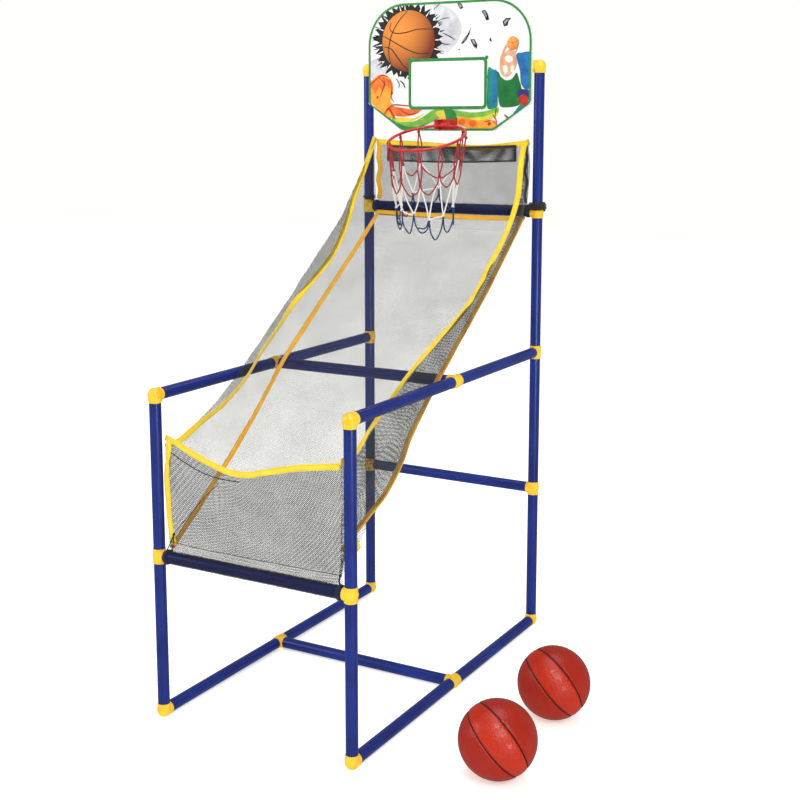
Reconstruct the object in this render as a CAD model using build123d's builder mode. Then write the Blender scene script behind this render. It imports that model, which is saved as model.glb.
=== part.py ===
"""Basketball hoop machine: a push-fit tube frame with a net chute, a backboard and a hinged rim.

Millimetres, +Z up. The origin is on the floor under the axis of the front left post, +X runs to
the right post and +Y to the rear posts. Each sub-part is written as its own STEP file.
"""
from build123d import *
import os
from math import atan2, cos, degrees, radians, sin

# ---- frame -------------------------------------------------------------------------------------
WIDTH = 488.0            # between the left and right post axes
DEPTH = 890.0            # between the front and rear post axes
PITCH = 355.0            # height from one level of fittings to the next
TUBE_R = 13.0
TUBE_BORE_R = 11.4
BASE_Z = 13.5            # axis of the floor rails
LEVELS = [BASE_Z + i * PITCH for i in range(5)]
MID_X = WIDTH / 2
MID_Y = DEPTH / 2

# ---- push-fit fittings -------------------------------------------------------------------------
COLLAR_R = 14.5
CORE_R = 15.6            # the ball-shaped middle of a fitting stands a little proud of its collars
SEAT = 16.5              # from a fitting's centre to the face that a tube butts against
SPIGOT_R = 11.35         # 0.05 mm of radial play inside a tube
SPIGOT_LENGTH = 25.0
SPIGOT_BORE_R = 8.4
COLLAR_EDGE = 0.8        # chamfer on a collar's rim
SPIGOT_EDGE = 1.5        # lead-in chamfer on a spigot's tip

# ---- net chute ---------------------------------------------------------------------------------
CLOTH = 1.5              # thickness of a net panel
TAPE = 14.0              # width of the yellow binding tape
TAPE_THICKNESS = 2.5
SLEEVE_R = 14.15         # outside of a net sleeve round a cross tube
SLEEVE_BORE_R = 13.15
SLEEVE_INSET = 22.0      # from a post axis to a sleeve's end
RAMP_LIFT = 14.6         # underside of the ramp above the line through the front and arm tubes
RAMP_DROP = 22.0         # the ramp's rear end is this much lower, below the front of the rear tube
RAMP_FRONT_REACH = 15.0  # the ramp stops this far short of the front cross tube's axis
RAMP_REAR_REACH = 18.0   # and this far short of the rear one
NET_HALF = 220.5         # half width of the ramp, back and pocket panels
SIDE_INNER = 222.0       # half distance between the side panels' inner faces
SIDE_GAP = 2.0           # a side panel's lower edge above the ramp
SEW_GAP = 0.3            # between panels that are sewn edge to edge
POCKET_CORNER_Z = 640.0
POCKET_DIP_Z = 588.0
BACK_TOP_Z = 1256.0
# top edge of each side panel, as (distance behind the front posts, height)
LEFT_TOP = [
    (2, 640),
    (95, 646),
    (195, 690),
    (295, 752),
    (445, 856),
    (558, 938),
    (712, 1056),
    (790, 1142),
    (887, 1258),
]
RIGHT_TOP = [
    (2, 640),
    (54, 645),
    (136, 690),
    (211, 732),
    (348, 794),
    (440, 832),
    (502, 858),
    (604, 912),
    (684, 976),
    (767, 1060),
    (820, 1134),
    (850, 1196),
    (887, 1258),
]
PATCH_SIZE = (372.0, 42.0)
PATCH_Z = 1218.0
TIE_R = 1.3              # elastic cord of the corner ties
TIE_LOOP_R = 16.4

# ---- backboard ---------------------------------------------------------------------------------
BOARD_T = 5.0
BOARD_FRONT_Y = DEPTH - 20.0
BOARD_BACK_Y = BOARD_FRONT_Y + BOARD_T
BOARD_HALF = 232.0
BOARD_TOP_Z = 1598.0
BOARD_BOTTOM_Z = 1276.0
BOARD_SHOULDER_Z = 1345.0
BOARD_FOOT_HALF = 133.0
BOARD_CORNER_R = 105.0
BOARD_FOOT_R = 14.0
CLIP_X = 110.0           # clips stand this far each side of the middle
CLIP_WIDTH = 20.0
CLIP_BORE_R = 13.1
CLIP_R = 16.2
CLIP_TAB_T = 2.5
CLIP_TAB_TOP = 31.0      # reach of a tab above and below the tube's axis
CLIP_SCREW_OUT = 23.5
SCREW_R = 2.0
SCREW_PLAY = 0.1
SCREW_HEAD_R = 4.2
SCREW_HEAD_T = 1.8
NUT_ACROSS = 7.0
NUT_T = 3.0

# ---- rim ---------------------------------------------------------------------------------------
RIM_R = 97.0             # centre line of the ring
RIM_WIRE_R = 3.5
RIM_DROOP = 18.0         # the ring rests this far below level
HINGE_Y = BOARD_FRONT_Y - 8.5
HINGE_Z = 1292.0
HINGE_TO_RING = 9.5      # from the hinge axis to the ring's centre line
KNUCKLE_R = 4.5
KNUCKLE_HALF = 17.5
PIN_R = 1.5
PIN_HALF = 27.0
PIN_PLAY = 0.08
BRACKET_HALF = 29.0
BRACKET_Z = (1279.0, 1305.0)
BRACKET_DEPTH = 15.5
BRACKET_SLOT_HALF = 18.0
BRACKET_BACK_T = 3.5
RIM_SCREW_X = 23.5
RIM_SCREW_DZ = 8.0
RIM_SCREW_R = 1.5
RIM_SCREW_DEPTH = 9.0
HOOKS = 10
HOOK_FIRST = 40.0        # degrees round from the hinge to the first hook
NET_TOP_R = 94.0
NET_BOTTOM_R = 67.0
NET_DROP = 222.0
NET_START = 5.0
NET_CORD = 2.0

# ---- balls -------------------------------------------------------------------------------------
BALL_R = 80.0
BALL_SKIN = 2.2
BALL_1 = (760.0, 113.0)
BALL_2 = (752.0, 417.0)
VALVE_R = 2.5
VALVE_DEPTH = 1.2

UP, DOWN = (0, 0, 1), (0, 0, -1)
LEFT, RIGHT = (-1, 0, 0), (1, 0, 0)
FRONT, REAR = (0, -1, 0), (0, 1, 0)
SIDES = (("left", 0.0, RIGHT), ("right", WIDTH, LEFT))

os.makedirs("parts", exist_ok=True)


def save(piece, name):
    """Labels a finished piece and writes it as its own STEP file."""
    piece.part.label = name
    export_step(piece.part, f"parts/{name}.step")


def upright_plane(y):
    """A plane across the machine: sketch x is X from the middle, sketch y is Z, normal to the front."""
    return Plane(origin=(MID_X, y, 0), x_dir=RIGHT, z_dir=FRONT)


def side_plane(x):
    """A plane along the machine: sketch x is Y, sketch y is Z, normal to the right."""
    return Plane(origin=(x, 0, 0), x_dir=REAR, z_dir=RIGHT)


# ================================================================================================
# Frame tubes
# ================================================================================================
def make_tube(name, start, end):
    """A tube between two fittings, given by their centres: its ends butt against the collars."""
    run = Vector(end) - Vector(start)
    first = Vector(start) + run.normalized() * SEAT
    with BuildPart() as tube:
        with BuildSketch(Plane(origin=first, z_dir=run)):
            Circle(TUBE_R)
            Circle(TUBE_BORE_R, mode=Mode.SUBTRACT)
        extrude(amount=run.length - 2 * SEAT)
    save(tube, name)


for side, x, inward in SIDES:
    for number, words in enumerate(("lower", "upper")):
        make_tube(f"front_{side}_{words}_post", (x, 0, LEVELS[number]), (x, 0, LEVELS[number + 1]))
    for number in range(4):
        bottom, top = (x, DEPTH, LEVELS[number]), (x, DEPTH, LEVELS[number + 1])
        make_tube(f"rear_{side}_post_{number + 1}", bottom, top)
    for words, z in (("base_rail", LEVELS[0]), ("arm_rail", LEVELS[2])):
        make_tube(f"{side}_{words}_front", (x, 0, z), (x, MID_Y, z))
        make_tube(f"{side}_{words}_rear", (x, MID_Y, z), (x, DEPTH, z))

CROSS_TUBES = {
    "base_cross_tube": (MID_Y, LEVELS[0]),
    "front_cross_tube": (0, LEVELS[1]),
    "arm_cross_tube": (MID_Y, LEVELS[2]),
    "rear_lower_cross_tube": (DEPTH, LEVELS[1]),
    "rear_upper_cross_tube": (DEPTH, LEVELS[3]),
    "top_cross_tube": (DEPTH, LEVELS[4]),
}
for name, (y, z) in CROSS_TUBES.items():
    make_tube(name, (0, y, z), (WIDTH, y, z))


# ================================================================================================
# Push-fit fittings: a ball-shaped core, and for each arm a collar with a hollow spigot
# ================================================================================================
CORE_TURN = (20, 35, 10)  # keeps the ball's poles and seam off the arms
BELOW_FLOOR = (Align.CENTER, Align.CENTER, Align.MAX)
ARM_PROFILE = [
    (0, 0),
    (COLLAR_R, 0),
    (COLLAR_R, SEAT - COLLAR_EDGE),
    (COLLAR_R - COLLAR_EDGE, SEAT),
    (SPIGOT_R, SEAT),
    (SPIGOT_R, SEAT + SPIGOT_LENGTH - SPIGOT_EDGE),
    (SPIGOT_R - SPIGOT_EDGE, SEAT + SPIGOT_LENGTH),
    (SPIGOT_BORE_R, SEAT + SPIGOT_LENGTH),
    (SPIGOT_BORE_R, SEAT),
    (0, SEAT),
]


def make_fittings(name, places):
    """A node of identical fittings, with a flat under those that stand on the floor."""
    with BuildPart() as group:
        for centre, arms in places:
            with Locations(Location(centre, CORE_TURN)):
                Sphere(CORE_R)
            for arm in arms:
                across = Vector(REAR) if arm in (LEFT, RIGHT) else Vector(RIGHT)
                with BuildSketch(Plane(origin=centre, x_dir=across, z_dir=across.cross(Vector(arm)))):
                    with BuildLine():
                        Polyline(*ARM_PROFILE, close=True)
                    make_face()
                revolve(axis=Axis(centre, arm), revolution_arc=360)
            if centre[2] == BASE_Z:
                with Locations((centre[0], centre[1], 0)):
                    Box(4 * SEAT, 4 * SEAT, BASE_Z, align=BELOW_FLOOR, mode=Mode.SUBTRACT)
    save(group, name)


# each fitting's place behind the front posts, its level, and its arms; INWARD stands for the other side
INWARD = "inward"
FITTINGS = {
    "foot_elbows": [(0, 0, (UP, REAR)), (DEPTH, 0, (UP, FRONT))],
    "base_tees": [(MID_Y, 0, (FRONT, REAR, INWARD))],
    "front_tees": [(0, 1, (DOWN, UP, INWARD))],
    "front_top_elbows": [(0, 2, (DOWN, REAR))],
    "arm_tees": [(MID_Y, 2, (FRONT, REAR, INWARD))],
    "rear_lower_tees": [(DEPTH, 1, (DOWN, UP, INWARD))],
    "rear_arm_tees": [(DEPTH, 2, (DOWN, UP, FRONT))],
    "rear_upper_tees": [(DEPTH, 3, (DOWN, UP, INWARD))],
    "mast_top_elbows": [(DEPTH, 4, (DOWN, INWARD))],
}
for name, kinds in FITTINGS.items():
    places = []
    for _, x, inward in SIDES:
        for y, level, arms in kinds:
            places.append(((x, y, LEVELS[level]), [inward if arm == INWARD else arm for arm in arms]))
    make_fittings(name, places)


# ================================================================================================
# Net chute: sleeves round two cross tubes, a sloping ramp, sides, a front pocket and a back
# ================================================================================================
def make_sleeve(name, y, z):
    """A net sleeve round a cross tube."""
    with BuildPart() as sleeve:
        with BuildSketch(Plane(origin=(SLEEVE_INSET, y, z), z_dir=RIGHT)):
            Circle(SLEEVE_R)
            Circle(SLEEVE_BORE_R, mode=Mode.SUBTRACT)
        extrude(amount=WIDTH - 2 * SLEEVE_INSET)
    save(sleeve, name)


make_sleeve("front_bar_sleeve", 0, LEVELS[1])
make_sleeve("rear_bar_sleeve", DEPTH, LEVELS[3])

SLOPE = atan2(2 * PITCH, DEPTH)          # three cross tubes lie in one sloping line
ALONG = Vector(0, cos(SLOPE), sin(SLOPE))
OFF = Vector(0, -sin(SLOPE), cos(SLOPE))
HALF_SLOPE = MID_Y / cos(SLOPE)          # from one of those tubes to the next


def ramp_lift(distance):
    """The ramp's height over the line of the tubes: level to the arm tube, then falling away."""
    return RAMP_LIFT - RAMP_DROP * max(0.0, distance / HALF_SLOPE - 1)


def ramp_profile(inset, thickness):
    """The ramp seen from the right, as (y, z) corners: a sheet bent over the arm tube."""
    stations = [RAMP_FRONT_REACH + inset, HALF_SLOPE, 2 * HALF_SLOPE - RAMP_REAR_REACH - inset]
    under, over = [], []
    for distance in stations:
        foot = Vector(0, 0, LEVELS[1]) + ALONG * distance + OFF * ramp_lift(distance)
        under.append((foot.Y, foot.Z))
        top = foot + OFF * thickness
        over.append((top.Y, top.Z))
    return under + over[::-1]


def make_ramp(half, inset, thickness, window=None):
    """A bent sheet of the given half width, with an optional window of (half width, inset)."""
    with BuildPart() as sheet:
        with BuildSketch(side_plane(MID_X)):
            Polygon(*ramp_profile(inset, thickness), align=None)
        extrude(amount=half, both=True)
        if window:
            with BuildSketch(side_plane(MID_X)):
                Polygon(*ramp_profile(window[1], 2 * thickness), align=None)
            extrude(amount=window[0], both=True, mode=Mode.SUBTRACT)
    return sheet


save(make_ramp(NET_HALF - TAPE, TAPE, CLOTH), "ramp_net")
save(make_ramp(NET_HALF, 0, TAPE_THICKNESS, (NET_HALF - TAPE, TAPE)), "ramp_bindings")


def ramp_top(y):
    """Height of the ramp tape's upper face, a given distance behind the front posts."""
    fall = RAMP_DROP * max(0.0, y / MID_Y - 1)
    return LEVELS[1] + y * PITCH / MID_Y + (RAMP_LIFT + TAPE_THICKNESS - fall) / cos(SLOPE)


TAPE_RISE = TAPE / cos(SLOPE)            # the tape's height where it follows the slope
BESIDE_BAR_Y = DEPTH - SLEEVE_R - 5.0    # the side panels step round the rear sleeve
OVER_BAR_Z = LEVELS[3] + SLEEVE_R + 6.0


def tape_foot(top):
    """The lower edge of the tape along a side panel's top edge."""
    return [(y, z - TAPE_RISE) for y, z in top]


def make_side_net(name, x, top):
    """A side panel, from the ramp's edge up to the foot of its binding tape."""
    foot = tape_foot(top)
    over_bar = [(top[-1][0], OVER_BAR_Z), (BESIDE_BAR_Y, OVER_BAR_Z)]
    ramp_line = [(y, ramp_top(y) + SIDE_GAP) for y in (BESIDE_BAR_Y, MID_Y, foot[0][0])]
    with BuildPart() as panel:
        with BuildSketch(side_plane(x)):
            with BuildLine():
                Spline(*foot)
                Polyline(foot[-1], *over_bar, *ramp_line, foot[0])
            make_face()
        extrude(amount=CLOTH)
    save(panel, name)


SIDE_PANELS = (
    ("left_side_net", MID_X - SIDE_INNER - CLOTH, LEFT_TOP),
    ("right_side_net", MID_X + SIDE_INNER, RIGHT_TOP),
)
for name, x, top in SIDE_PANELS:
    make_side_net(name, x, top)

with BuildPart() as side_bindings:
    for _, x, top in SIDE_PANELS:
        foot = tape_foot(top)
        with BuildSketch(side_plane(x)):
            with BuildLine():
                Spline(*top)
                Line(top[-1], foot[-1])
                Spline(*foot)
                Line(foot[0], top[0])
            make_face()
        extrude(amount=CLOTH)
save(side_bindings, "side_bindings")

POCKET_FOOT_Z = LEVELS[1] + SLEEVE_R + SEW_GAP
POCKET_INNER = NET_HALF - TAPE
POCKET_Y = CLOTH / 2                     # the panel stands over the front cross tube's axis


def pocket_edge(half, drop):
    """The pocket's sagging top edge between two corners, lowered by a given drop."""
    return [(-half, POCKET_CORNER_Z - drop), (0, POCKET_DIP_Z - drop), (half, POCKET_CORNER_Z - drop)]


with BuildPart() as pocket_net:
    with BuildSketch(upright_plane(POCKET_Y)):
        with BuildLine():
            ThreePointArc(*pocket_edge(POCKET_INNER, TAPE))
            Polyline(
                (POCKET_INNER, POCKET_CORNER_Z - TAPE),
                (POCKET_INNER, POCKET_FOOT_Z),
                (-POCKET_INNER, POCKET_FOOT_Z),
                (-POCKET_INNER, POCKET_CORNER_Z - TAPE),
            )
        make_face()
    extrude(amount=CLOTH)
save(pocket_net, "pocket_net")

with BuildPart() as pocket_binding:
    with BuildSketch(upright_plane(POCKET_Y)):
        with BuildLine():
            ThreePointArc(*pocket_edge(NET_HALF, 0))
            Polyline(
                (NET_HALF, POCKET_CORNER_Z),
                (NET_HALF, POCKET_FOOT_Z),
                (POCKET_INNER, POCKET_FOOT_Z),
                (POCKET_INNER, POCKET_CORNER_Z - TAPE),
            )
            ThreePointArc(*pocket_edge(POCKET_INNER, TAPE))
            Polyline(
                (-POCKET_INNER, POCKET_CORNER_Z - TAPE),
                (-POCKET_INNER, POCKET_FOOT_Z),
                (-NET_HALF, POCKET_FOOT_Z),
                (-NET_HALF, POCKET_CORNER_Z),
            )
        make_face()
    extrude(amount=CLOTH)
save(pocket_binding, "pocket_binding")

BACK_FOOT_Z = LEVELS[3] + SLEEVE_R + SEW_GAP
BACK_Y = DEPTH + CLOTH / 2
BACK_MID_Z = (BACK_FOOT_Z + BACK_TOP_Z) / 2
BACK_HEIGHT = BACK_TOP_Z - BACK_FOOT_Z

with BuildPart() as back_net:
    with BuildSketch(upright_plane(BACK_Y)):
        with Locations((0, BACK_MID_Z - TAPE / 2)):
            Rectangle(2 * (NET_HALF - TAPE), BACK_HEIGHT - TAPE)
    extrude(amount=CLOTH)
save(back_net, "back_net")

with BuildPart() as back_binding:
    with BuildSketch(upright_plane(BACK_Y)):
        with Locations((0, BACK_MID_Z)):
            Rectangle(2 * NET_HALF, BACK_HEIGHT)
        with Locations((0, BACK_MID_Z - TAPE / 2)):
            Rectangle(2 * (NET_HALF - TAPE), BACK_HEIGHT - TAPE, mode=Mode.SUBTRACT)
    extrude(amount=CLOTH)
save(back_binding, "back_binding")

with BuildPart() as back_patch:
    with BuildSketch(upright_plane(BACK_Y - CLOTH)):
        with Locations((0, PATCH_Z)):
            Rectangle(*PATCH_SIZE)
    extrude(amount=CLOTH)
save(back_patch, "back_patch")

with BuildPart() as corner_ties:
    for x in (0, WIDTH):
        for y, level in ((0, LEVELS[1]), (DEPTH, LEVELS[3])):
            with Locations((x, y, level + SEAT + 2 * TIE_R)):
                Torus(TIE_LOOP_R, TIE_R)
save(corner_ties, "corner_ties")


# ================================================================================================
# Backboard, held on the top cross tube by two saddle clips
# ================================================================================================
TOP_Z = LEVELS[4]
CLIP_SCREWS = [(dx, TOP_Z + dz) for dx in (-CLIP_X, CLIP_X) for dz in (-CLIP_SCREW_OUT, CLIP_SCREW_OUT)]
RIM_SCREWS = [
    (dx, HINGE_Z + dz) for dx in (-RIM_SCREW_X, RIM_SCREW_X) for dz in (-RIM_SCREW_DZ, RIM_SCREW_DZ)
]

with BuildPart() as backboard:
    with BuildSketch(upright_plane(BOARD_BACK_Y)) as outline:
        with BuildLine():
            Polyline(
                (-BOARD_HALF, BOARD_TOP_Z),
                (BOARD_HALF, BOARD_TOP_Z),
                (BOARD_HALF, BOARD_SHOULDER_Z),
                (BOARD_FOOT_HALF, BOARD_BOTTOM_Z),
                (-BOARD_FOOT_HALF, BOARD_BOTTOM_Z),
                (-BOARD_HALF, BOARD_SHOULDER_Z),
                close=True,
            )
        make_face()
        corners = outline.vertices().group_by(Axis.Y)
        fillet(corners[-1], BOARD_CORNER_R)
        fillet(corners[0] + corners[1], BOARD_FOOT_R)
        with Locations(*CLIP_SCREWS):
            Circle(SCREW_R + SCREW_PLAY, mode=Mode.SUBTRACT)
        with Locations(*RIM_SCREWS):
            Circle(RIM_SCREW_R + SCREW_PLAY, mode=Mode.SUBTRACT)
    extrude(amount=BOARD_T)
save(backboard, "backboard")

with BuildPart() as board_clips:
    for dx in (-CLIP_X, CLIP_X):
        with BuildSketch(side_plane(MID_X + dx - CLIP_WIDTH / 2)):
            with Locations((DEPTH, TOP_Z)):
                Circle(CLIP_R)
            with Locations((BOARD_BACK_Y, TOP_Z)):
                Rectangle(4 * CLIP_R, 4 * CLIP_R, align=(Align.MAX, Align.CENTER), mode=Mode.SUBTRACT)
                Rectangle(CLIP_TAB_T, 2 * CLIP_TAB_TOP, align=(Align.MIN, Align.CENTER))
            with Locations((DEPTH, TOP_Z)):
                Circle(CLIP_BORE_R, mode=Mode.SUBTRACT)
            with Locations((BOARD_BACK_Y, TOP_Z)):
                Rectangle(2 * CLIP_TAB_T, 2, align=(Align.CENTER, Align.CENTER), mode=Mode.SUBTRACT)
        extrude(amount=CLIP_WIDTH)
    with BuildSketch(upright_plane(BOARD_BACK_Y + CLIP_TAB_T)):
        with Locations(*CLIP_SCREWS):
            Circle(SCREW_R + SCREW_PLAY)
    extrude(amount=CLIP_TAB_T, mode=Mode.SUBTRACT)
save(board_clips, "board_clips")

with BuildPart() as board_screws:
    with BuildSketch(upright_plane(BOARD_FRONT_Y)):
        with Locations(*CLIP_SCREWS):
            Circle(SCREW_HEAD_R)
    extrude(amount=SCREW_HEAD_T)
    with BuildSketch(upright_plane(BOARD_FRONT_Y)):
        with Locations(*CLIP_SCREWS):
            Circle(SCREW_R)
    extrude(amount=-(BOARD_T + CLIP_TAB_T + NUT_T + 1))
save(board_screws, "board_screws")

with BuildPart() as board_nuts:
    with BuildSketch(upright_plane(BOARD_BACK_Y + CLIP_TAB_T)):
        with Locations(*CLIP_SCREWS):
            RegularPolygon(NUT_ACROSS / 2, 6, major_radius=False)
            Circle(SCREW_R + SCREW_PLAY / 2, mode=Mode.SUBTRACT)
    extrude(amount=-NUT_T)
save(board_nuts, "board_nuts")


# ================================================================================================
# Rim, hinged in a bracket on the board's lower edge
# ================================================================================================
BRACKET_MID_Z = (BRACKET_Z[0] + BRACKET_Z[1]) / 2
BRACKET_HEIGHT = BRACKET_Z[1] - BRACKET_Z[0]
EAR_FACE = Plane(origin=(MID_X - BRACKET_HALF, HINGE_Y, HINGE_Z), z_dir=RIGHT)

with BuildPart() as rim_bracket:
    with BuildSketch(upright_plane(BOARD_FRONT_Y)) as face:
        with Locations((0, BRACKET_MID_Z)):
            Rectangle(2 * BRACKET_HALF, BRACKET_HEIGHT)
        fillet(face.vertices(), 3)
    extrude(amount=BRACKET_DEPTH)
    with BuildSketch(upright_plane(BOARD_FRONT_Y - BRACKET_BACK_T)):
        with Locations((0, BRACKET_MID_Z)):
            Rectangle(2 * BRACKET_SLOT_HALF, BRACKET_HEIGHT)
    extrude(amount=BRACKET_DEPTH, mode=Mode.SUBTRACT)
    with BuildSketch(EAR_FACE):
        Circle(PIN_R + PIN_PLAY / 4)
    extrude(amount=2 * BRACKET_HALF, mode=Mode.SUBTRACT)
    with BuildSketch(upright_plane(BOARD_FRONT_Y)):
        with Locations(*RIM_SCREWS):
            Circle(RIM_SCREW_R + SCREW_PLAY / 2)
    extrude(amount=RIM_SCREW_DEPTH + 1, mode=Mode.SUBTRACT)
save(rim_bracket, "rim_bracket")

with BuildPart() as rim_screws:
    with BuildSketch(upright_plane(BOARD_BACK_Y + SCREW_HEAD_T)):
        with Locations(*RIM_SCREWS):
            Circle(SCREW_HEAD_R - 1)
    extrude(amount=SCREW_HEAD_T)
    with BuildSketch(upright_plane(BOARD_BACK_Y)):
        with Locations(*RIM_SCREWS):
            Circle(RIM_SCREW_R)
    extrude(amount=BOARD_T + RIM_SCREW_DEPTH)
save(rim_screws, "rim_screws")

with BuildPart() as rim_pin:
    with BuildSketch(Plane(origin=(MID_X - PIN_HALF, HINGE_Y, HINGE_Z), z_dir=RIGHT)):
        Circle(PIN_R)
    extrude(amount=2 * PIN_HALF)
save(rim_pin, "rim_pin")

DROOP = radians(RIM_DROOP)
RING_NORMAL = (0, -sin(DROOP), cos(DROOP))
RING_REACH = HINGE_TO_RING + RIM_R
RING_Y = HINGE_Y - RING_REACH * cos(DROOP)
RING_Z = HINGE_Z - RING_REACH * sin(DROOP)


def ring_plane(lower=0.0, below=0.0):
    """The ring's plane: moved straight down by lower, and along its own normal by below."""
    flat = Plane(origin=(MID_X, RING_Y, RING_Z - lower), x_dir=RIGHT, z_dir=RING_NORMAL)
    return flat.offset(-below)


with BuildPart() as rim:
    with Locations(ring_plane().location):
        Torus(RIM_R, RIM_WIRE_R)
    with BuildSketch(Plane(origin=(MID_X - KNUCKLE_HALF, HINGE_Y, HINGE_Z), z_dir=RIGHT)):
        Circle(KNUCKLE_R)
    extrude(amount=2 * KNUCKLE_HALF)
    with BuildSketch(ring_plane(below=-RIM_WIRE_R / 2)):
        with Locations((0, RIM_R + 1)):
            Rectangle(2 * KNUCKLE_HALF - 3, HINGE_TO_RING, align=(Align.CENTER, Align.MIN))
    extrude(amount=-RIM_WIRE_R)
    with BuildSketch(ring_plane(below=RIM_WIRE_R / 2)):
        for number in range(HOOKS):
            turn = 90 + HOOK_FIRST + number * (360 - 2 * HOOK_FIRST) / (HOOKS - 1)
            spot = Vector((RIM_R + 1) * cos(radians(turn)), (RIM_R + 1) * sin(radians(turn)))
            with Locations(Location((spot.X, spot.Y), turn)):
                Rectangle(3, 4.5)
    extrude(amount=-7)
    with BuildSketch(Plane(origin=(MID_X - KNUCKLE_HALF, HINGE_Y, HINGE_Z), z_dir=RIGHT)):
        Circle(PIN_R + PIN_PLAY)
    extrude(amount=2 * KNUCKLE_HALF, mode=Mode.SUBTRACT)
save(rim, "rim")

# the cord net hangs as a tapering open skirt: its strands are equally long, so its foot tilts too
with BuildPart() as hoop_net:
    for inset, mode in ((0, Mode.ADD), (NET_CORD, Mode.SUBTRACT)):
        with BuildSketch(ring_plane(below=NET_START)):
            Circle(NET_TOP_R - inset)
        with BuildSketch(ring_plane(lower=NET_DROP, below=NET_START)):
            Circle(NET_BOTTOM_R - inset)
        loft(mode=mode)
save(hoop_net, "hoop_net")


# ================================================================================================
# Balls: hollow skins with a valve seat, resting on the floor beside the frame
# ================================================================================================
for name, (x, y) in (("ball_1", BALL_1), ("ball_2", BALL_2)):
    with BuildPart() as ball:
        with Locations((x, y, BALL_R)):
            Sphere(BALL_R)
            Sphere(BALL_R - BALL_SKIN, mode=Mode.SUBTRACT)
        with BuildSketch(Plane(origin=(x, y, 2 * BALL_R), z_dir=DOWN)):
            Circle(VALVE_R)
        extrude(amount=VALVE_DEPTH, mode=Mode.SUBTRACT)
    save(ball, name)
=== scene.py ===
"""Looks of the basketball hoop machine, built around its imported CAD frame. Metres, +Z up."""

import math
import random

import bmesh
import bpy
from mathutils import Matrix, Vector, noise


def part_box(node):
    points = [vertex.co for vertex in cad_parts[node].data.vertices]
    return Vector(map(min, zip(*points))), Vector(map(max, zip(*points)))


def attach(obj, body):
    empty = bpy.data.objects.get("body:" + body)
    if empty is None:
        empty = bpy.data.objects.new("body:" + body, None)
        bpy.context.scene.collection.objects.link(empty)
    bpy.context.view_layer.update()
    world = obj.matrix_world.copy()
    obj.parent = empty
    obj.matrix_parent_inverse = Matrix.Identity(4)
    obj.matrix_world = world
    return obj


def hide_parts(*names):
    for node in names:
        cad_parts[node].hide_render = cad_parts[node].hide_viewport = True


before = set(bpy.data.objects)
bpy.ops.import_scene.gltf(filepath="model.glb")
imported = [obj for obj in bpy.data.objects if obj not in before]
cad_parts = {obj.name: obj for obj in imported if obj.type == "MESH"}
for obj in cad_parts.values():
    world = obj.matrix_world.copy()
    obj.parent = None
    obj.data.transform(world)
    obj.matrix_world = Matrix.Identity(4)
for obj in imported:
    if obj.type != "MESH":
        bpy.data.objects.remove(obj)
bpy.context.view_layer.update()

# ---- places, read from the frame ---------------------------------------------------------------
BODY = "frame"


def middle(node):
    """The middle of a CAD node's box."""
    low, high = (Vector(corner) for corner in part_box(node))
    return (low + high) / 2


def half_span(node, axis):
    """Half of a CAD node's size along one axis."""
    low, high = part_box(node)
    return (high[axis] - low[axis]) / 2


def linked(name, data):
    """A new object, in the scene."""
    obj = bpy.data.objects.new(name, data)
    bpy.context.collection.objects.link(obj)
    return obj


FRONT_BAR = middle("front_cross_tube")
REAR_BAR = middle("rear_upper_cross_tube")
MID_X = FRONT_BAR.x
WIDTH = 2 * MID_X
DEPTH = REAR_BAR.y
TUBE_R = half_span("front_cross_tube", 2)
SLEEVE_R = half_span("front_bar_sleeve", 2)
RISE = (REAR_BAR.z - FRONT_BAR.z) / (REAR_BAR.y - FRONT_BAR.y)
TILT = math.atan(RISE)
RAMP_LIFT = 0.0152                     # the ramp's cloth above the line through the tube axes
NET_HALF = half_span("ramp_bindings", 0)
SIDE_HALF = MID_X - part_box("left_side_net")[0][0]
POCKET_CORNER_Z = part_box("pocket_binding")[1][2]
BACK_TOP_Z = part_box("back_binding")[1][2]
TAPE = 0.014                           # width of the binding tape
TAPE_T = 0.0022                        # and its thickness, folded
OFF_CLOTH = 0.0012                     # a tape or thread on the cloth stands this far off it
CLOTH_IN = 0.004                       # cloth ends this far inside the outer edge of its tape

# ---- camera ------------------------------------------------------------------------------------
CAMERA_PLACE = Vector((MID_X + 1.5544, DEPTH / 2 - 2.5536, 1.2923))
CAMERA_YAW = math.radians(29.49)
CAMERA_PITCH = math.radians(8.94)
CAMERA_LENS = 58.7
CAMERA_SHIFT = (-0.0033, -0.0880)

camera = linked("camera", bpy.data.cameras.new("camera"))
camera.location = CAMERA_PLACE
camera.rotation_euler = (math.pi / 2 - CAMERA_PITCH, 0, CAMERA_YAW)
camera.data.lens = CAMERA_LENS
camera.data.sensor_width = 36
camera.data.shift_x, camera.data.shift_y = CAMERA_SHIFT
camera.data.clip_end = 50
bpy.context.scene.camera = camera


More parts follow.
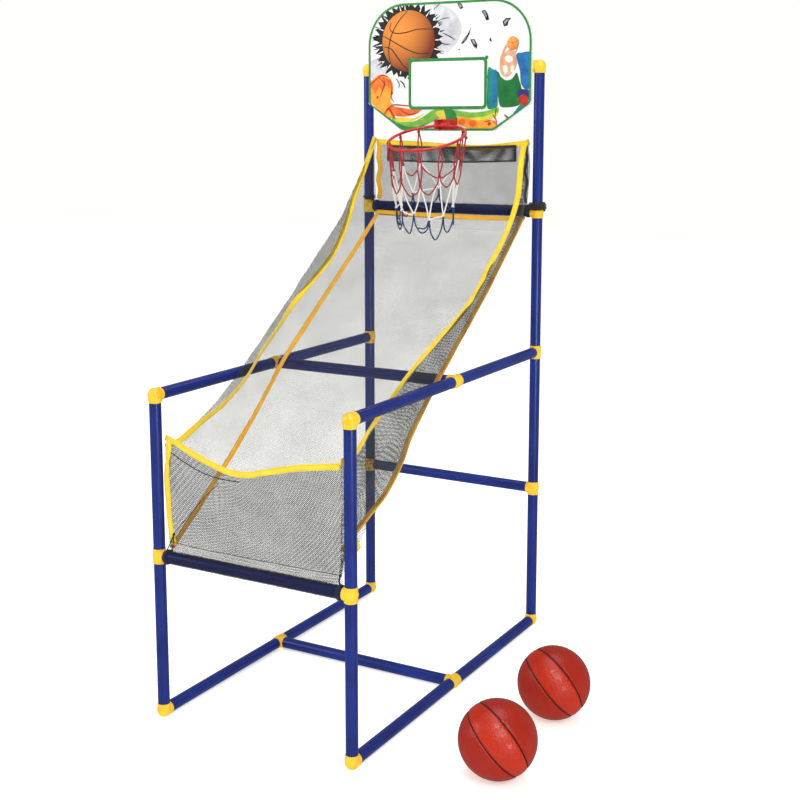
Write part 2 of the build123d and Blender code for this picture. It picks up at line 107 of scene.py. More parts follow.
# ================================================================================================
# Materials
# ================================================================================================
class Shader:
    """A node material around one Principled shader, with short calls for the usual nodes."""

    def __init__(self, name, roughness=0.5, **sockets):
        self.material = bpy.data.materials.new(name)
        self.material.use_nodes = True
        self.tree = self.material.node_tree
        self.bsdf = self.tree.nodes["Principled BSDF"]
        self.bsdf.inputs["Roughness"].default_value = roughness
        for socket, value in sockets.items():
            self.bsdf.inputs[socket.replace("_", " ")].default_value = value

    def node(self, kind, *inputs, **settings):
        """Adds a node; inputs are values or sockets in order, None leaves one as it is."""
        made = self.tree.nodes.new("ShaderNode" + kind)
        for key, value in settings.items():
            setattr(made, key, value)
        for number, value in enumerate(inputs):
            self.put(made.inputs[number], value)
        return made

    def put(self, socket, value):
        if isinstance(value, bpy.types.NodeSocket):
            self.tree.links.new(value, socket)
        elif value is not None:
            socket.default_value = value

    def math(self, operation, *inputs):
        return self.node("Math", *inputs, operation=operation).outputs[0]

    def coordinates(self, scale=(1, 1, 1), source="Object"):
        """Object or UV coordinates, scaled axis by axis."""
        place = self.node("TexCoord").outputs[source]
        return self.node("Mapping", place, None, None, scale).outputs[0]

    def noise(self, vector, scale, detail=3.0, rough=0.5):
        made = self.node("TexNoise", vector, None, scale, detail, rough)
        return made.outputs["Fac"] if "Fac" in made.outputs else made.outputs[0]

    def ramp(self, value, low, high, low_out=0.0, high_out=1.0):
        """Maps low..high to low_out..high_out, held at the ends."""
        return self.node("MapRange", value, low, high, low_out, high_out).outputs[0]

    def mix(self, factor, first, second):
        made = self.node("MixRGB", factor, first, second)
        return made.outputs[0]

    def colour(self, value):
        self.put(self.bsdf.inputs["Base Color"], value)

    def rough(self, value):
        self.put(self.bsdf.inputs["Roughness"], value)

    def bump(self, height, distance, strength=1.0):
        made = self.node("Bump")
        self.put(made.inputs["Height"], height)
        made.inputs["Distance"].default_value = distance
        made.inputs["Strength"].default_value = strength
        self.put(self.bsdf.inputs["Normal"], made.outputs[0])


def rgb(red, green, blue):
    """A colour given as the 0 to 255 steps a screen shows."""
    def linear(step):
        share = step / 255
        return share / 12.92 if share <= 0.04045 else ((share + 0.055) / 1.055) ** 2.4
    return (linear(red), linear(green), linear(blue), 1.0)


def tube_plastic(name, along):
    """Extruded blue plastic: long faint draw lines along the tube, and a satin gloss."""
    stretch = [60.0, 60.0, 60.0]
    stretch[along] = 1.5
    shader = Shader(name, Specular_IOR_Level=0.5, Coat_Weight=0.25, Coat_Roughness=0.12)
    lines = shader.noise(shader.coordinates(stretch), 6.0, 4.0)
    cloud = shader.noise(shader.coordinates(), 9.0, 2.0)
    tone = shader.mix(shader.ramp(cloud, 0.3, 0.7), rgb(5, 28, 106), rgb(11, 42, 132))
    shader.colour(tone)
    shader.rough(shader.ramp(lines, 0.3, 0.7, 0.24, 0.34))
    shader.bump(lines, 0.00004)
    return shader.material


def moulded_plastic(name, dark, light, roughness=0.34, grain=700.0):
    """Injection moulded plastic: slight flow marks, fine orange peel and soft gloss changes."""
    shader = Shader(name, Coat_Weight=0.2, Coat_Roughness=0.15)
    flow = shader.noise(shader.coordinates(), 38.0, 3.0)
    shader.colour(shader.mix(shader.ramp(flow, 0.3, 0.7), dark, light))
    peel = shader.noise(shader.coordinates(), grain, 2.0)
    shader.rough(shader.ramp(flow, 0.3, 0.7, roughness - 0.07, roughness + 0.08))
    shader.bump(peel, 0.00006)
    return shader.material


def metal(name, tone, roughness):
    """Zinc plated steel with a little mottling."""
    shader = Shader(name, roughness, Metallic=1.0)
    spots = shader.noise(shader.coordinates(), 900.0, 3.0)
    shader.colour(shader.mix(spots, tone, rgb(190, 192, 196)))
    shader.rough(shader.ramp(spots, 0.3, 0.7, roughness - 0.08, roughness + 0.1))
    shader.bump(spots, 0.00003)
    return shader.material


def net_cloth(name, thread, pitch, cover, mottle=0.05):
    """See-through knitted net: two crossing sets of threads cover the given share of the cloth."""
    shader = Shader(name, 0.75, Specular_IOR_Level=0.25, Sheen_Weight=0.15, Sheen_Roughness=0.4)
    cloth = shader.node("TexCoord").outputs["UV"]
    drift = shader.noise(shader.node("Mapping", cloth, None, None, (9, 9, 9)).outputs[0], 1.0, 4.0,
                         0.6)
    split = shader.node("SeparateXYZ", cloth)
    width = 1 - math.sqrt(1 - cover)
    half = shader.ramp(drift, 0.25, 0.75, width / 2 - mottle / 2, width / 2 + mottle / 2)
    lines = []
    for operation in ("ADD", "SUBTRACT"):
        across = shader.math(operation, split.outputs[0], split.outputs[1])
        wave = shader.math("PINGPONG", shader.math("MULTIPLY", across, 1 / pitch), 0.5)
        lines.append(shader.math("SUBTRACT", half, wave))
    near = shader.math("MAXIMUM", *lines)
    mask = shader.ramp(near, -0.02, 0.02)
    shader.put(shader.bsdf.inputs["Alpha"], mask)
    fuzz = shader.noise(shader.node("Mapping", cloth, None, None, (600, 600, 600)).outputs[0], 1.0,
                        2.0)
    light = tuple(min(1.0, value * 2.2) for value in thread[:3]) + (1.0,)
    shader.colour(shader.mix(fuzz, thread, light))
    shader.bump(near, 0.0004)
    return shader.material


def woven_tape(name, dark, light, stitch):
    """Twill tape with a row of stitches near each edge.

    U runs along the tape, V across it, in metres."""
    shader = Shader(name, 0.7, Specular_IOR_Level=0.3, Sheen_Weight=0.3, Sheen_Roughness=0.5)
    cloth = shader.node("TexCoord").outputs["UV"]
    split = shader.node("SeparateXYZ", cloth)
    along, across = split.outputs[0], split.outputs[1]
    twill = shader.math("SINE", shader.math("MULTIPLY", shader.math("ADD", along, across),
                                            2 * math.pi / 0.0016))
    soil = shader.noise(shader.node("Mapping", cloth, None, None, (30, 60, 1)).outputs[0], 1.0, 4.0)
    body = shader.mix(shader.ramp(soil, 0.25, 0.75), dark, light)
    rows = []
    for row in (0.0022, TAPE - 0.0022):
        gap = shader.math("ABSOLUTE", shader.math("SUBTRACT", across, row))
        rows.append(shader.ramp(gap, 0.0003, 0.0006, 1.0, 0.0))
    dash = shader.math("PINGPONG", shader.math("MULTIPLY", along, 1 / 0.006), 0.5)
    on = shader.math("MULTIPLY", shader.math("MAXIMUM", *rows), shader.ramp(dash, 0.1, 0.16))
    shader.colour(shader.mix(on, body, stitch))
    height = shader.math("ADD", shader.math("MULTIPLY", twill, 0.35),
                         shader.math("MULTIPLY", on, 1.2))
    shader.bump(height, 0.0003)
    return shader.material


def twisted_cord(name, dark, light, turns=420.0):
    """Braided cord with painted shade in the grooves between its strands: U runs round it, V along
    it, in metres.
    """
    shader = Shader(name, 0.7, Specular_IOR_Level=0.3, Sheen_Weight=0.2)
    cloth = shader.node("TexCoord").outputs["UV"]
    split = shader.node("SeparateXYZ", cloth)
    waves = []
    for sign in (1, -1):
        slant = shader.math("MULTIPLY_ADD", split.outputs[0], sign * 4 * math.pi, None)
        shader.put(slant.node.inputs[2],
                   shader.math("MULTIPLY", split.outputs[1], turns * 2 * math.pi / 2))
        waves.append(shader.math("SINE", slant))
    braid = shader.math("MAXIMUM", *waves)
    # painted shade: the grooves between the strands take the dark tone and the crests the light one
    shader.colour(shader.mix(shader.ramp(braid, -0.4, 1.0), dark, light))
    shader.bump(braid, 0.0003)
    return shader.material


def paint(name, first, second, scale=60.0, roughness=0.38):
    """Printed ink with slight density changes and the board's own fine grain."""
    shader = Shader(name, roughness, Coat_Weight=0.15, Coat_Roughness=0.2)
    cloud = shader.noise(shader.coordinates(), scale, 4.0)
    shader.colour(shader.mix(shader.ramp(cloud, 0.3, 0.7), first, second))
    grain = shader.noise(shader.coordinates(), 900.0, 2.0)
    shader.rough(shader.ramp(grain, 0.3, 0.7, roughness - 0.06, roughness + 0.06))
    shader.bump(grain, 0.00004)
    return shader.material


TUBE_PLASTIC = {axis: tube_plastic(f"tube_plastic_{'xyz'[axis]}", axis) for axis in range(3)}
FITTING_PLASTIC = moulded_plastic("fitting_plastic", rgb(240, 184, 22), rgb(250, 208, 42))
RIM_PLASTIC = moulded_plastic("rim_plastic", rgb(172, 18, 18), rgb(204, 34, 26), 0.28)
CLIP_PLASTIC = moulded_plastic("clip_plastic", rgb(22, 22, 24), rgb(40, 40, 44), 0.45)
SCREW_STEEL = metal("zinc_screw", rgb(150, 153, 160), 0.3)
NET = net_cloth("net_mesh", rgb(38, 38, 42), 0.0036, 0.44)
BACK_NET = net_cloth("back_mesh", rgb(38, 38, 42), 0.0036, 0.58, 0.08)
BUNCHED_NET = net_cloth("bunched_mesh", rgb(34, 35, 34), 0.0036, 0.62, 0.16)
POCKET_NET = net_cloth("pocket_mesh", rgb(44, 44, 48), 0.0046, 0.53, 0.07)
SLEEVE_NET = net_cloth("sleeve_net", rgb(20, 20, 34), 0.0030, 0.55)
DARK_NET = net_cloth("dark_mesh", rgb(26, 26, 30), 0.0034, 0.72, 0.12)
BRIGHT_TAPE = woven_tape("binding_tape", rgb(238, 198, 22), rgb(253, 224, 46), rgb(214, 172, 24))
GOLD_TAPE = woven_tape("binding_tape_gold", rgb(226, 160, 24), rgb(246, 190, 44), rgb(200, 138, 22))
ELASTIC = twisted_cord("elastic_cord", rgb(12, 12, 13), rgb(38, 38, 42), 500.0)
NET_CORDS = {
    "red": twisted_cord("net_cord_red", rgb(128, 16, 24), rgb(176, 36, 42)),
    "white": twisted_cord("net_cord_white", rgb(214, 210, 206), rgb(250, 248, 244)),
    "navy": twisted_cord("net_cord_navy", rgb(24, 38, 78), rgb(44, 64, 116)),
}
HEM_THREAD = twisted_cord("hem_thread", rgb(44, 44, 48), rgb(88, 88, 92), 900.0)


# ================================================================================================
# Mesh helpers
# ================================================================================================
def piece(name, mesh, material, body=BODY, slot=None, replaces=(), smooth=True):
    """Makes a piece from a bmesh or a mesh, hangs it on its body, and hides the CAD parts it stands
    for.
    """
    if isinstance(mesh, bmesh.types.BMesh):
        made = bpy.data.meshes.new(name)
        mesh.to_mesh(made)
        mesh.free()
        mesh = made
    obj = linked(name, mesh)
    for one in material if isinstance(material, (list, tuple)) else [material]:
        mesh.materials.append(one)
    if smooth:
        mesh.shade_smooth()
    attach(obj, body)
    if replaces:
        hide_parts(*replaces)
    return obj


def table_curve(table, x):
    """A smooth value at x through a short table of (x, value, ...) rows, as a tuple of values."""
    table = [tuple(row) for row in table]
    if x <= table[0][0]:
        return table[0][1:]
    if x >= table[-1][0]:
        return table[-1][1:]
    k = max(i for i in range(len(table) - 1) if table[i][0] <= x)
    a, b = table[k], table[k + 1]
    before, after = table[max(k - 1, 0)], table[min(k + 2, len(table) - 1)]
    gap = b[0] - a[0]
    s = (x - a[0]) / gap
    out = []
    for i in range(1, len(a)):
        slope_a = (b[i] - before[i]) / (b[0] - before[0]) * gap
        slope_b = (after[i] - a[i]) / (after[0] - a[0]) * gap
        out.append(
            (2 * s**3 - 3 * s**2 + 1) * a[i]
            + (s**3 - 2 * s**2 + s) * slope_a
            + (3 * s**2 - 2 * s**3) * b[i]
            + (s**3 - s**2) * slope_b
        )
    return tuple(out)


def smooth_route(points, steps=6, closed=False):
    """A Catmull-Rom line through given points."""
    points = [Vector(p) for p in points]
    count = len(points)
    route = []
    for i in range(count if closed else count - 1):
        if closed:
            a, b, c, d = (points[(i + k) % count] for k in (-1, 0, 1, 2))
        else:
            b, c = points[i], points[i + 1]
            a = points[i - 1] if i else 2 * b - c
            d = points[i + 2] if i + 2 < count else 2 * c - b
        for step in range(steps):
            t = step / steps
            route.append(0.5 * (2 * b + (c - a) * t + (2 * a - 5 * b + 4 * c - d) * t**2
                                + (3 * b - a - 3 * c + d) * t**3))
    if not closed:
        route.append(points[-1])
    return route


def sweep(bm, route, section, across=None, closed=False):
    """Sweeps a closed section of (side, up) points along a route.

    across gives the section's side direction at each route point. Without it the section is
    carried along with no twist. UV is (round the section, along the route), in metres along."""
    uv = bm.loops.layers.uv.verify()
    count = len(route)
    rings, lengths = [], [0.0]
    for i in range(1, count):
        lengths.append(lengths[-1] + (route[i] - route[i - 1]).length)
    side = None
    for i, centre in enumerate(route):
        before = route[i - 1] if i or closed else centre
        after = route[(i + 1) % count] if i + 1 < count or closed else centre
        forward = (after - before).normalized()
        if across is not None:
            side = across[i]
        elif side is None:
            side = forward.orthogonal()
        side = (side - side.dot(forward) * forward).normalized()
        up = forward.cross(side)
        rings.append([bm.verts.new(centre + side * u + up * v) for u, v in section])
    size = len(section)
    for i in range(count if closed else count - 1):
        first, second = rings[i], rings[(i + 1) % count]
        step = (route[(i + 1) % count] - route[i]).length
        for j in range(size):
            face = bm.faces.new((first[j], first[(j + 1) % size], second[(j + 1) % size],
                                 second[j]))
            ends = ((j, 0), (j + 1, 0), (j + 1, step), (j, step))
            for loop, (turn, reach) in zip(face.loops, ends):
                loop[uv].uv = (turn / size, lengths[i] + reach)
    if not closed:
        bm.faces.new(rings[0][::-1])
        bm.faces.new(rings[-1])


def round_section(radius, sides=8):
    return [(radius * math.cos(2 * math.pi * k / sides),
             radius * math.sin(2 * math.pi * k / sides)) for k in range(sides)]


def outward(bm):
    bmesh.ops.recalc_face_normals(bm, faces=bm.faces)


def cord_piece(name, routes, radius, material, **words):
    """One piece made of one or more round cords."""
    bm = bmesh.new()
    for route in routes:
        sweep(bm, route, round_section(radius))
    outward(bm)
    return piece(name, bm, material, **words)


def tape_piece(name, routes, material, width=TAPE, **words):
    """Binding tape folded over an edge.

    Each route is a list of (centre, direction across the tape)."""
    bm = bmesh.new()
    uv = bm.loops.layers.uv.verify()
    half, thick = width / 2, TAPE_T / 2
    section = []
    for k in range(12):
        turn = 2 * math.pi * k / 12
        bulge = abs(math.cos(turn)) ** 0.35 * half, abs(math.sin(turn)) ** 0.6 * thick
        section.append((math.copysign(bulge[0], math.cos(turn)),
                        math.copysign(bulge[1], math.sin(turn))))
    for route in routes:
        sweep(bm, [Vector(p) for p, _ in route], section, across=[Vector(a) for _, a in route])
    bm.faces.ensure_lookup_table()
    spread = [(u + half) * TAPE / width for u, _ in section]
    for face in bm.faces:
        if len(face.loops) != 4:
            continue
        for loop in face.loops:
            turn, reach = loop[uv].uv
            loop[uv].uv = (reach, spread[round(turn * len(section)) % len(section)])
    outward(bm)
    return piece(name, bm, material, **words)


def cloth_piece(name, point, size, cells, material, lay=None, **words):
    """A sheet of net: point(s, t) gives its surface. The weave's threads are laid out over its cut
    size, or by lay(point) where the cut isn't a rectangle."""
    bm = bmesh.new()
    uv = bm.loops.layers.uv.verify()
    across, along = cells
    grid = [[bm.verts.new(point(i / across, j / along)) for i in range(across + 1)]
            for j in range(along + 1)]
    for j in range(along):
        for i in range(across):
            corners = ((i, j), (i + 1, j), (i + 1, j + 1), (i, j + 1))
            face = bm.faces.new([grid[b][a] for a, b in corners])
            for loop, (a, b) in zip(face.loops, corners):
                flat = (a / across * size[0], b / along * size[1])
                loop[uv].uv = lay(grid[b][a].co) if lay else flat
    return piece(name, bm, material, **words)


def ripple(place, scale, depth, seed=0.0):
    """A soft random offset for wrinkles."""
    return depth * noise.noise(Vector(place) * scale + Vector((seed, seed * 1.7, 0.0)))


# ================================================================================================
# Frame: the CAD tubes, fittings and hardware keep their shapes and get finished materials
# ================================================================================================
def dress(node, material):
    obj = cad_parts[node]
    obj.data.materials.clear()
    obj.data.materials.append(material)


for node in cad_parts:
    if "_post" in node:
        dress(node, TUBE_PLASTIC[2])
    elif "_rail_" in node:
        dress(node, TUBE_PLASTIC[1])
    elif node.endswith("_tube"):
        dress(node, TUBE_PLASTIC[0])
    elif node.endswith(("_tees", "_elbows")):
        dress(node, FITTING_PLASTIC)
for node in ("rim", "rim_bracket"):
    dress(node, RIM_PLASTIC)
dress("board_clips", CLIP_PLASTIC)
for node in ("board_screws", "board_nuts", "rim_screws", "rim_pin"):
    dress(node, SCREW_STEEL)


# ================================================================================================
# Net chute: the ramp and its tapes
# ================================================================================================
ALONG_RAMP = Vector((0, math.cos(TILT), math.sin(TILT)))
OFF_RAMP = Vector((0, -math.sin(TILT), math.cos(TILT)))
RAMP_LENGTH = (REAR_BAR.y - FRONT_BAR.y) / math.cos(TILT)
RAMP_CLOTH_HALF = NET_HALF - TAPE / 2
REAR_SAG, FRONT_SAG = 0.004, 0.012
RAMP_DROP = 0.022                      # the rear end is this much lower, under the rear bar's front


def ramp_lift(distance):
    """The ramp's height over the line of the tubes: it falls away behind the arm tube, and sags."""
    share = distance / RAMP_LENGTH
    depth = FRONT_SAG if share < 0.5 else REAR_SAG
    sag = depth * abs(math.sin(2 * math.pi * share)) ** 1.2
    return RAMP_LIFT - RAMP_DROP * max(0.0, 2 * share - 1) - sag


def ramp_place(across, distance, lift=0.0):
    """A point of the ramp: across from the middle line, and along it from the front bar."""
    start = Vector((MID_X + across, FRONT_BAR.y, FRONT_BAR.z))
    return start + ALONG_RAMP * distance + OFF_RAMP * (ramp_lift(distance) + lift)


def ramp_edge(y):
    """Height of the ramp a distance y behind the front posts."""
    distance = y / math.cos(TILT)
    for _ in range(3):
        distance = (y + ramp_lift(distance) * math.sin(TILT)) / math.cos(TILT)
    return ramp_place(0, distance).z


def ramp_cloth(s, t):
    across = (2 * s - 1) * RAMP_CLOTH_HALF
    distance = 0.004 + t * (RAMP_LENGTH - 0.0165)
    edge = 1 - abs(2 * s - 1) ** 3
    bays = abs(math.sin(2 * math.pi * distance / RAMP_LENGTH))
    crease = ripple((across * 0.6, distance * 1.5, 0), 14.0, 0.0035, 3.0)
    return ramp_place(across, distance, (crease - 0.004 * edge) * bays)


ramp = cloth_piece(
    "ramp_cloth", ramp_cloth, (2 * RAMP_CLOTH_HALF, RAMP_LENGTH), (44, 110), NET,
    slot="net_mesh", replaces=["ramp_net"],
)

# how far each edge of the ramp bows towards the middle, as (distance behind the front posts, bow)
LEFT_BOW = [(0, 0.003), (0.12, 0.002), (0.30, 0.004), (0.60, 0.001), (0.80, 0.004), (0.89, 0.006)]
RIGHT_BOW = [
    (0, 0.004), (0.02, 0.005), (0.046, 0.022), (0.086, 0.026), (0.15, 0.010), (0.185, 0),
    (0.265, 0),
    (0.31, 0.008), (0.395, 0.003), (0.60, 0.001), (0.80, 0.003), (0.89, 0.006),
]


def ramp_tape(side, bow, start):
    """The folded tape along one edge of the ramp; the cloth's edge runs inside it."""
    route = []
    for k in range(61):
        distance = start + (RAMP_LENGTH - 0.016 - start) * k / 60
        inward = table_curve(bow, distance * math.cos(TILT))[0]
        lean = OFF_RAMP * (0.25 * ripple((distance, side, 0), 9.0, 1.0, 5.0))
        wave = ripple((distance, side * 3, 1), 11.0, 0.0015)
        place = ramp_place(side * (NET_HALF - TAPE / 2 - inward + wave), distance, OFF_CLOTH)
        route.append((place, Vector((1, 0, 0)) + lean))
    return route


def rear_strip():
    """The strip along the ramp's top end, which hangs a little below the rear bar."""
    route = []
    for k in range(41):
        across = (2 * k / 40 - 1) * (NET_HALF - 0.004)
        slack = 0.003 * math.sin(math.pi * k / 40) + 0.005 * k / 40
        lean = ALONG_RAMP + OFF_RAMP * (0.9 - 0.9 * k / 40)
        route.append((ramp_place(across, RAMP_LENGTH - 0.020 - slack, OFF_CLOTH), lean))
    return route


ramp_tapes = tape_piece(
    "ramp_tapes", [ramp_tape(-1, LEFT_BOW, 0.016), ramp_tape(1, RIGHT_BOW, 0.086), rear_strip()],
    GOLD_TAPE,
    slot="binding_tape", replaces=["ramp_bindings"],
)

# ================================================================================================
# Net chute: side panels
# ================================================================================================
# the left panel's fold, as (distance behind the front posts, height)
FOLD = [
    (0.002, 0.614), (0.060, 0.620), (0.115, 0.643), (0.195, 0.686), (0.280, 0.741), (0.340, 0.784),
    (0.445, 0.858), (0.558, 0.940), (0.640, 1.004), (0.712, 1.060), (0.790, 1.146), (0.887, 1.256),
]
# the turned-down hem below that fold, as (distance, drop, reach towards the middle)
LEFT_HEM = [
    (0.002, 0.001, 0.013), (0.040, 0.002, 0.009), (0.115, 0.006, 0.006), (0.195, 0.020, 0.010),
    (0.280, 0.028, 0.012), (0.340, 0.022, 0.012), (0.395, 0.022, 0.012), (0.475, 0.020, 0.014),
    (0.555, 0.026, 0.020), (0.630, 0.036, 0.024), (0.690, 0.030, 0.020), (0.760, 0.018, 0.010),
    (0.840, 0.010, 0.004), (0.887, 0.002, 0.001),
]
# the right panel's hem, as (distance, height, reach towards the middle)
RIGHT_HEM = [
    (0.002, 0.640, 0.001), (0.054, 0.645, 0.002), (0.136, 0.692, 0.003), (0.211, 0.733, 0.004),
    (0.280, 0.765, 0.006), (0.348, 0.795, 0.008), (0.440, 0.831, 0.009), (0.502, 0.854, 0.008),
    (0.604, 0.908, 0.007), (0.690, 0.974, 0.008), (0.782, 1.050, 0.008), (0.838, 1.126, 0.009),
    (0.858, 1.200, 0.012), (0.876, 1.246, 0.010), (0.887, 1.256, 0.003),
]
SIDE_BULGE = 0.006
SEWN = NET_HALF - 0.004                # where a side panel is sewn to the ramp's tape
EDGE_IN = 0.0015                       # the panels stand this far inside the CAD panels' outer face


def side_span(t):
    """Distance behind the front posts, closer together towards the rear where the hem climbs."""
    return 0.002 + 0.885 * (1 - (1 - t) ** 1.15)


def left_section(y):
    """The left panel across one place: up from the ramp, over the fold and down to the hem."""
    foot, top = ramp_edge(y), table_curve(FOLD, y)[0]
    drop, reach = table_curve(LEFT_HEM, y)
    outer = -SIDE_HALF + EDGE_IN
    bulge = SIDE_BULGE * min(1.0, 6 * y, 6 * (DEPTH - y))
    tall = top - foot
    return smooth_route([
        (-SEWN, y, foot),
        (outer - bulge * 0.8, y, foot + tall * 0.35),
        (outer - bulge, y, foot + tall * 0.7),
        (outer - bulge * 0.4, y, top - 0.010 * min(1, drop / 0.02)),
        (outer + 0.0015, y, top),
        (outer + 0.2 * bulge + reach * 0.55, y, top - drop * 0.45),
        (outer + reach, y, top - drop),
    ], 5)


def right_section(y):
    """The right panel across one place: up from the ramp to its hem."""
    foot = ramp_edge(y)
    top, reach = table_curve(RIGHT_HEM, y)
    tall = top - foot
    outer = SIDE_HALF - EDGE_IN
    bow = table_curve(RIGHT_BOW, y)[0]
    bulge = SIDE_BULGE * min(1.0, 6 * y, 6 * (DEPTH - y)) * min(1.0, tall / 0.1)
    return smooth_route([
        (SEWN - bow, y, foot),
        (outer - 0.5 * bow + bulge * 0.6, y, foot + tall * 0.25),
        (outer + bulge, y, foot + tall * 0.55),
        (outer + bulge * 0.3 - reach * 0.4, y, foot + tall * 0.8),
        (outer - reach, y, foot + tall),
    ], 7)


def side_cloth(section, seed):
    """The surface through one side's sections, with soft wrinkles that die out at the edges."""
    rows = {}

    def place(s, t):
        if t not in rows:
            rows[t] = section(side_span(t))
        route = rows[t]
        step = s * (len(route) - 1)
        k = min(int(step), len(route) - 2)
        point = route[k].lerp(route[k + 1], step - k)
        wave = math.sin(math.pi * s) * ripple((point.y, point.z * 0.8, 0), 16.0, 0.004, seed)
        return Vector((MID_X + point.x + wave, point.y, point.z))

    return place


# Each side is a long leaf shape. Laid flat, with the left one's fold opened out, it is this wide
# and long at most, and has this area: the hung cloth's own sizes, taken as cut with no slack.
LEFT_SIZE, LEFT_AREA = (0.247, 1.121), 0.154
RIGHT_SIZE, RIGHT_AREA = (0.252, 1.129), 0.117


def side_lay(point):
    return (point.y, point.z)


left_side = cloth_piece(
    "left_side_cloth", side_cloth(left_section, 2.0), LEFT_SIZE, (30, 90), NET, side_lay,
    slot="net_mesh", replaces=["left_side_net"],
)
right_side = cloth_piece(
    "right_side_cloth", side_cloth(right_section, 6.0), RIGHT_SIZE, (28, 100), BUNCHED_NET,
    side_lay,
    slot="net_mesh", replaces=["right_side_net"],
)

# how far each hem tape is turned about its own line, in degrees, as (distance, turn)
LEFT_TURN = [(0, 0), (0.10, -25), (0.40, -38), (0.47, -10), (0.54, 22), (0.66, 26), (0.74, 18),
             (0.887, 0)]
RIGHT_TURN = [(0, 0), (0.2, 6), (0.5, 12), (0.75, 5), (0.85, -10), (0.887, 0)]


def hem_tape(section, turns, side):
    """The bright tape folded over a side panel's hem."""
    route = []
    for k in range(91):
        y = side_span(k / 90)
        line = section(y)
        end, before = line[-1], line[-4]
        hang = end - before
        hang.y = 0
        hang = hang.normalized()
        turn = math.radians(table_curve(turns, y)[0]) * side
        hang = Matrix.Rotation(turn, 3, ALONG_RAMP) @ hang
        wave = ripple((y, side, 2), 13.0, 0.0015)
        place = end - hang * (TAPE / 2 - 0.002) + Vector((MID_X + wave, 0, 0))
        route.append((place, hang))
    return route


side_tapes = tape_piece(
    "side_tapes", [hem_tape(left_section, LEFT_TURN, -1), hem_tape(right_section, RIGHT_TURN, 1)],
    BRIGHT_TAPE,
    slot="binding_tape", replaces=["side_bindings"],
)

# ================================================================================================
# Net chute: front pocket and back panel
# ================================================================================================
POCKET_FOOT = FRONT_BAR.z + SLEEVE_R
POCKET_SEAM = POCKET_FOOT + 0.022
# the pocket's sagging top edge, as (across from the middle, height)
POCKET_TOP = [
    (-0.2205, 0.641), (-0.200, 0.635), (-0.180, 0.627), (-0.136, 0.611), (-0.088, 0.597),
    (-0.040, 0.587), (0.0, 0.589),
    (0.042, 0.599), (0.123, 0.619), (0.180, 0.628), (0.2205, 0.634),
]


def pocket_belly(across, height):
    """How far the pocket bulges to the front."""
    share = (height - POCKET_FOOT) / (POCKET_CORNER_Z - POCKET_FOOT)
    width = max(0.0, 1 - (across / NET_HALF) ** 2)
    return 0.009 * width * math.sin(math.pi * min(1.0, 0.1 + 0.9 * share)) ** 0.8


def pocket_cloth(s, t):
    across = (2 * s - 1) * (NET_HALF - CLOTH_IN) + 0.006 * s**4
    top = table_curve(POCKET_TOP, across)[0] - CLOTH_IN
    height = POCKET_FOOT + t * (top - POCKET_FOOT)
    crease = ripple((across, height, 0), 12.0, 0.004, 9.0) * math.sin(math.pi * t)
    return Vector((MID_X + across, FRONT_BAR.y + 0.0015 - pocket_belly(across, height) + crease,
                   height))


POCKET_SIZE, POCKET_AREA = (2 * NET_HALF, 0.255), 0.095
pocket = cloth_piece(
    "pocket_cloth", pocket_cloth, POCKET_SIZE, (48, 30), [POCKET_NET, NET],
    slot="net_mesh", replaces=["pocket_net"],
)
for polygon in pocket.data.polygons:
    if polygon.center.z < POCKET_SEAM:
        polygon.material_index = 1


def pocket_top_tape():
    route = []
    for k in range(71):
        across = (2 * k / 70 - 1) * (NET_HALF - 0.001)
        height = table_curve(POCKET_TOP, across)[0]
        wobble = ripple((across, 0, 4), 18.0, 0.0016)
        y = FRONT_BAR.y + 0.0015 - pocket_belly(across, height - 0.006)
        lean = 0.25 * ripple((across, 1, 4), 12.0, 1.0)
        route.append((Vector((MID_X + across, y, height - TAPE / 2 + wobble)),
                      Vector((0, lean, 1))))
    return route


# a side tape's wavy line, as (height, offset towards the post)
POCKET_SIDE_WAVE = [
    (0.398, -0.012), (0.416, -0.006), (0.462, 0.001), (0.500, 0.003), (0.549, 0.005),
    (0.590, -0.001),
    (0.634, -0.004),
]


def pocket_left_tape():
    route = []
    for k in range(41):
        height = 0.398 + 0.236 * k / 40
        offset = table_curve(POCKET_SIDE_WAVE, height)[0]
        across = -(NET_HALF - TAPE / 2 + offset)
        lean = 0.3 * ripple((height, 5, 0), 20.0, 1.0)
        route.append((Vector((MID_X + across, FRONT_BAR.y + 0.001, height)), Vector((1, lean, 0))))
    return route


# how far behind the front posts the right tape runs, as (height, distance)
POCKET_RIGHT_RUN = [(0.436, 0.070), (0.462, 0.056), (0.500, 0.032), (0.545, 0.022), (0.640, 0.021)]


def pocket_right_tape():
    """The pocket wraps round to the right side, where its tape runs down behind the post."""
    route = []
    for k in range(41):
        height = 0.438 + 0.200 * k / 40
        reach = table_curve(POCKET_RIGHT_RUN, height)[0] + ripple((height, 8, 0), 14.0, 0.0015)
        place = Vector((MID_X + NET_HALF + 0.0005, FRONT_BAR.y + reach, height))
        route.append((place, Vector((0.1, 1, 0))))
    return route


pocket_tapes = tape_piece(
    "pocket_tapes", [pocket_top_tape(), pocket_left_tape(), pocket_right_tape()], BRIGHT_TAPE,
    slot="binding_tape", replaces=["pocket_binding"],
)


def on_pocket(across, height):
    """A point just in front of the pocket's cloth."""
    ahead = pocket_belly(across, height) + OFF_CLOTH
    return Vector((MID_X + across, FRONT_BAR.y - ahead, height))


def pocket_line(points):
    return smooth_route([on_pocket(*point) for point in points], 8)


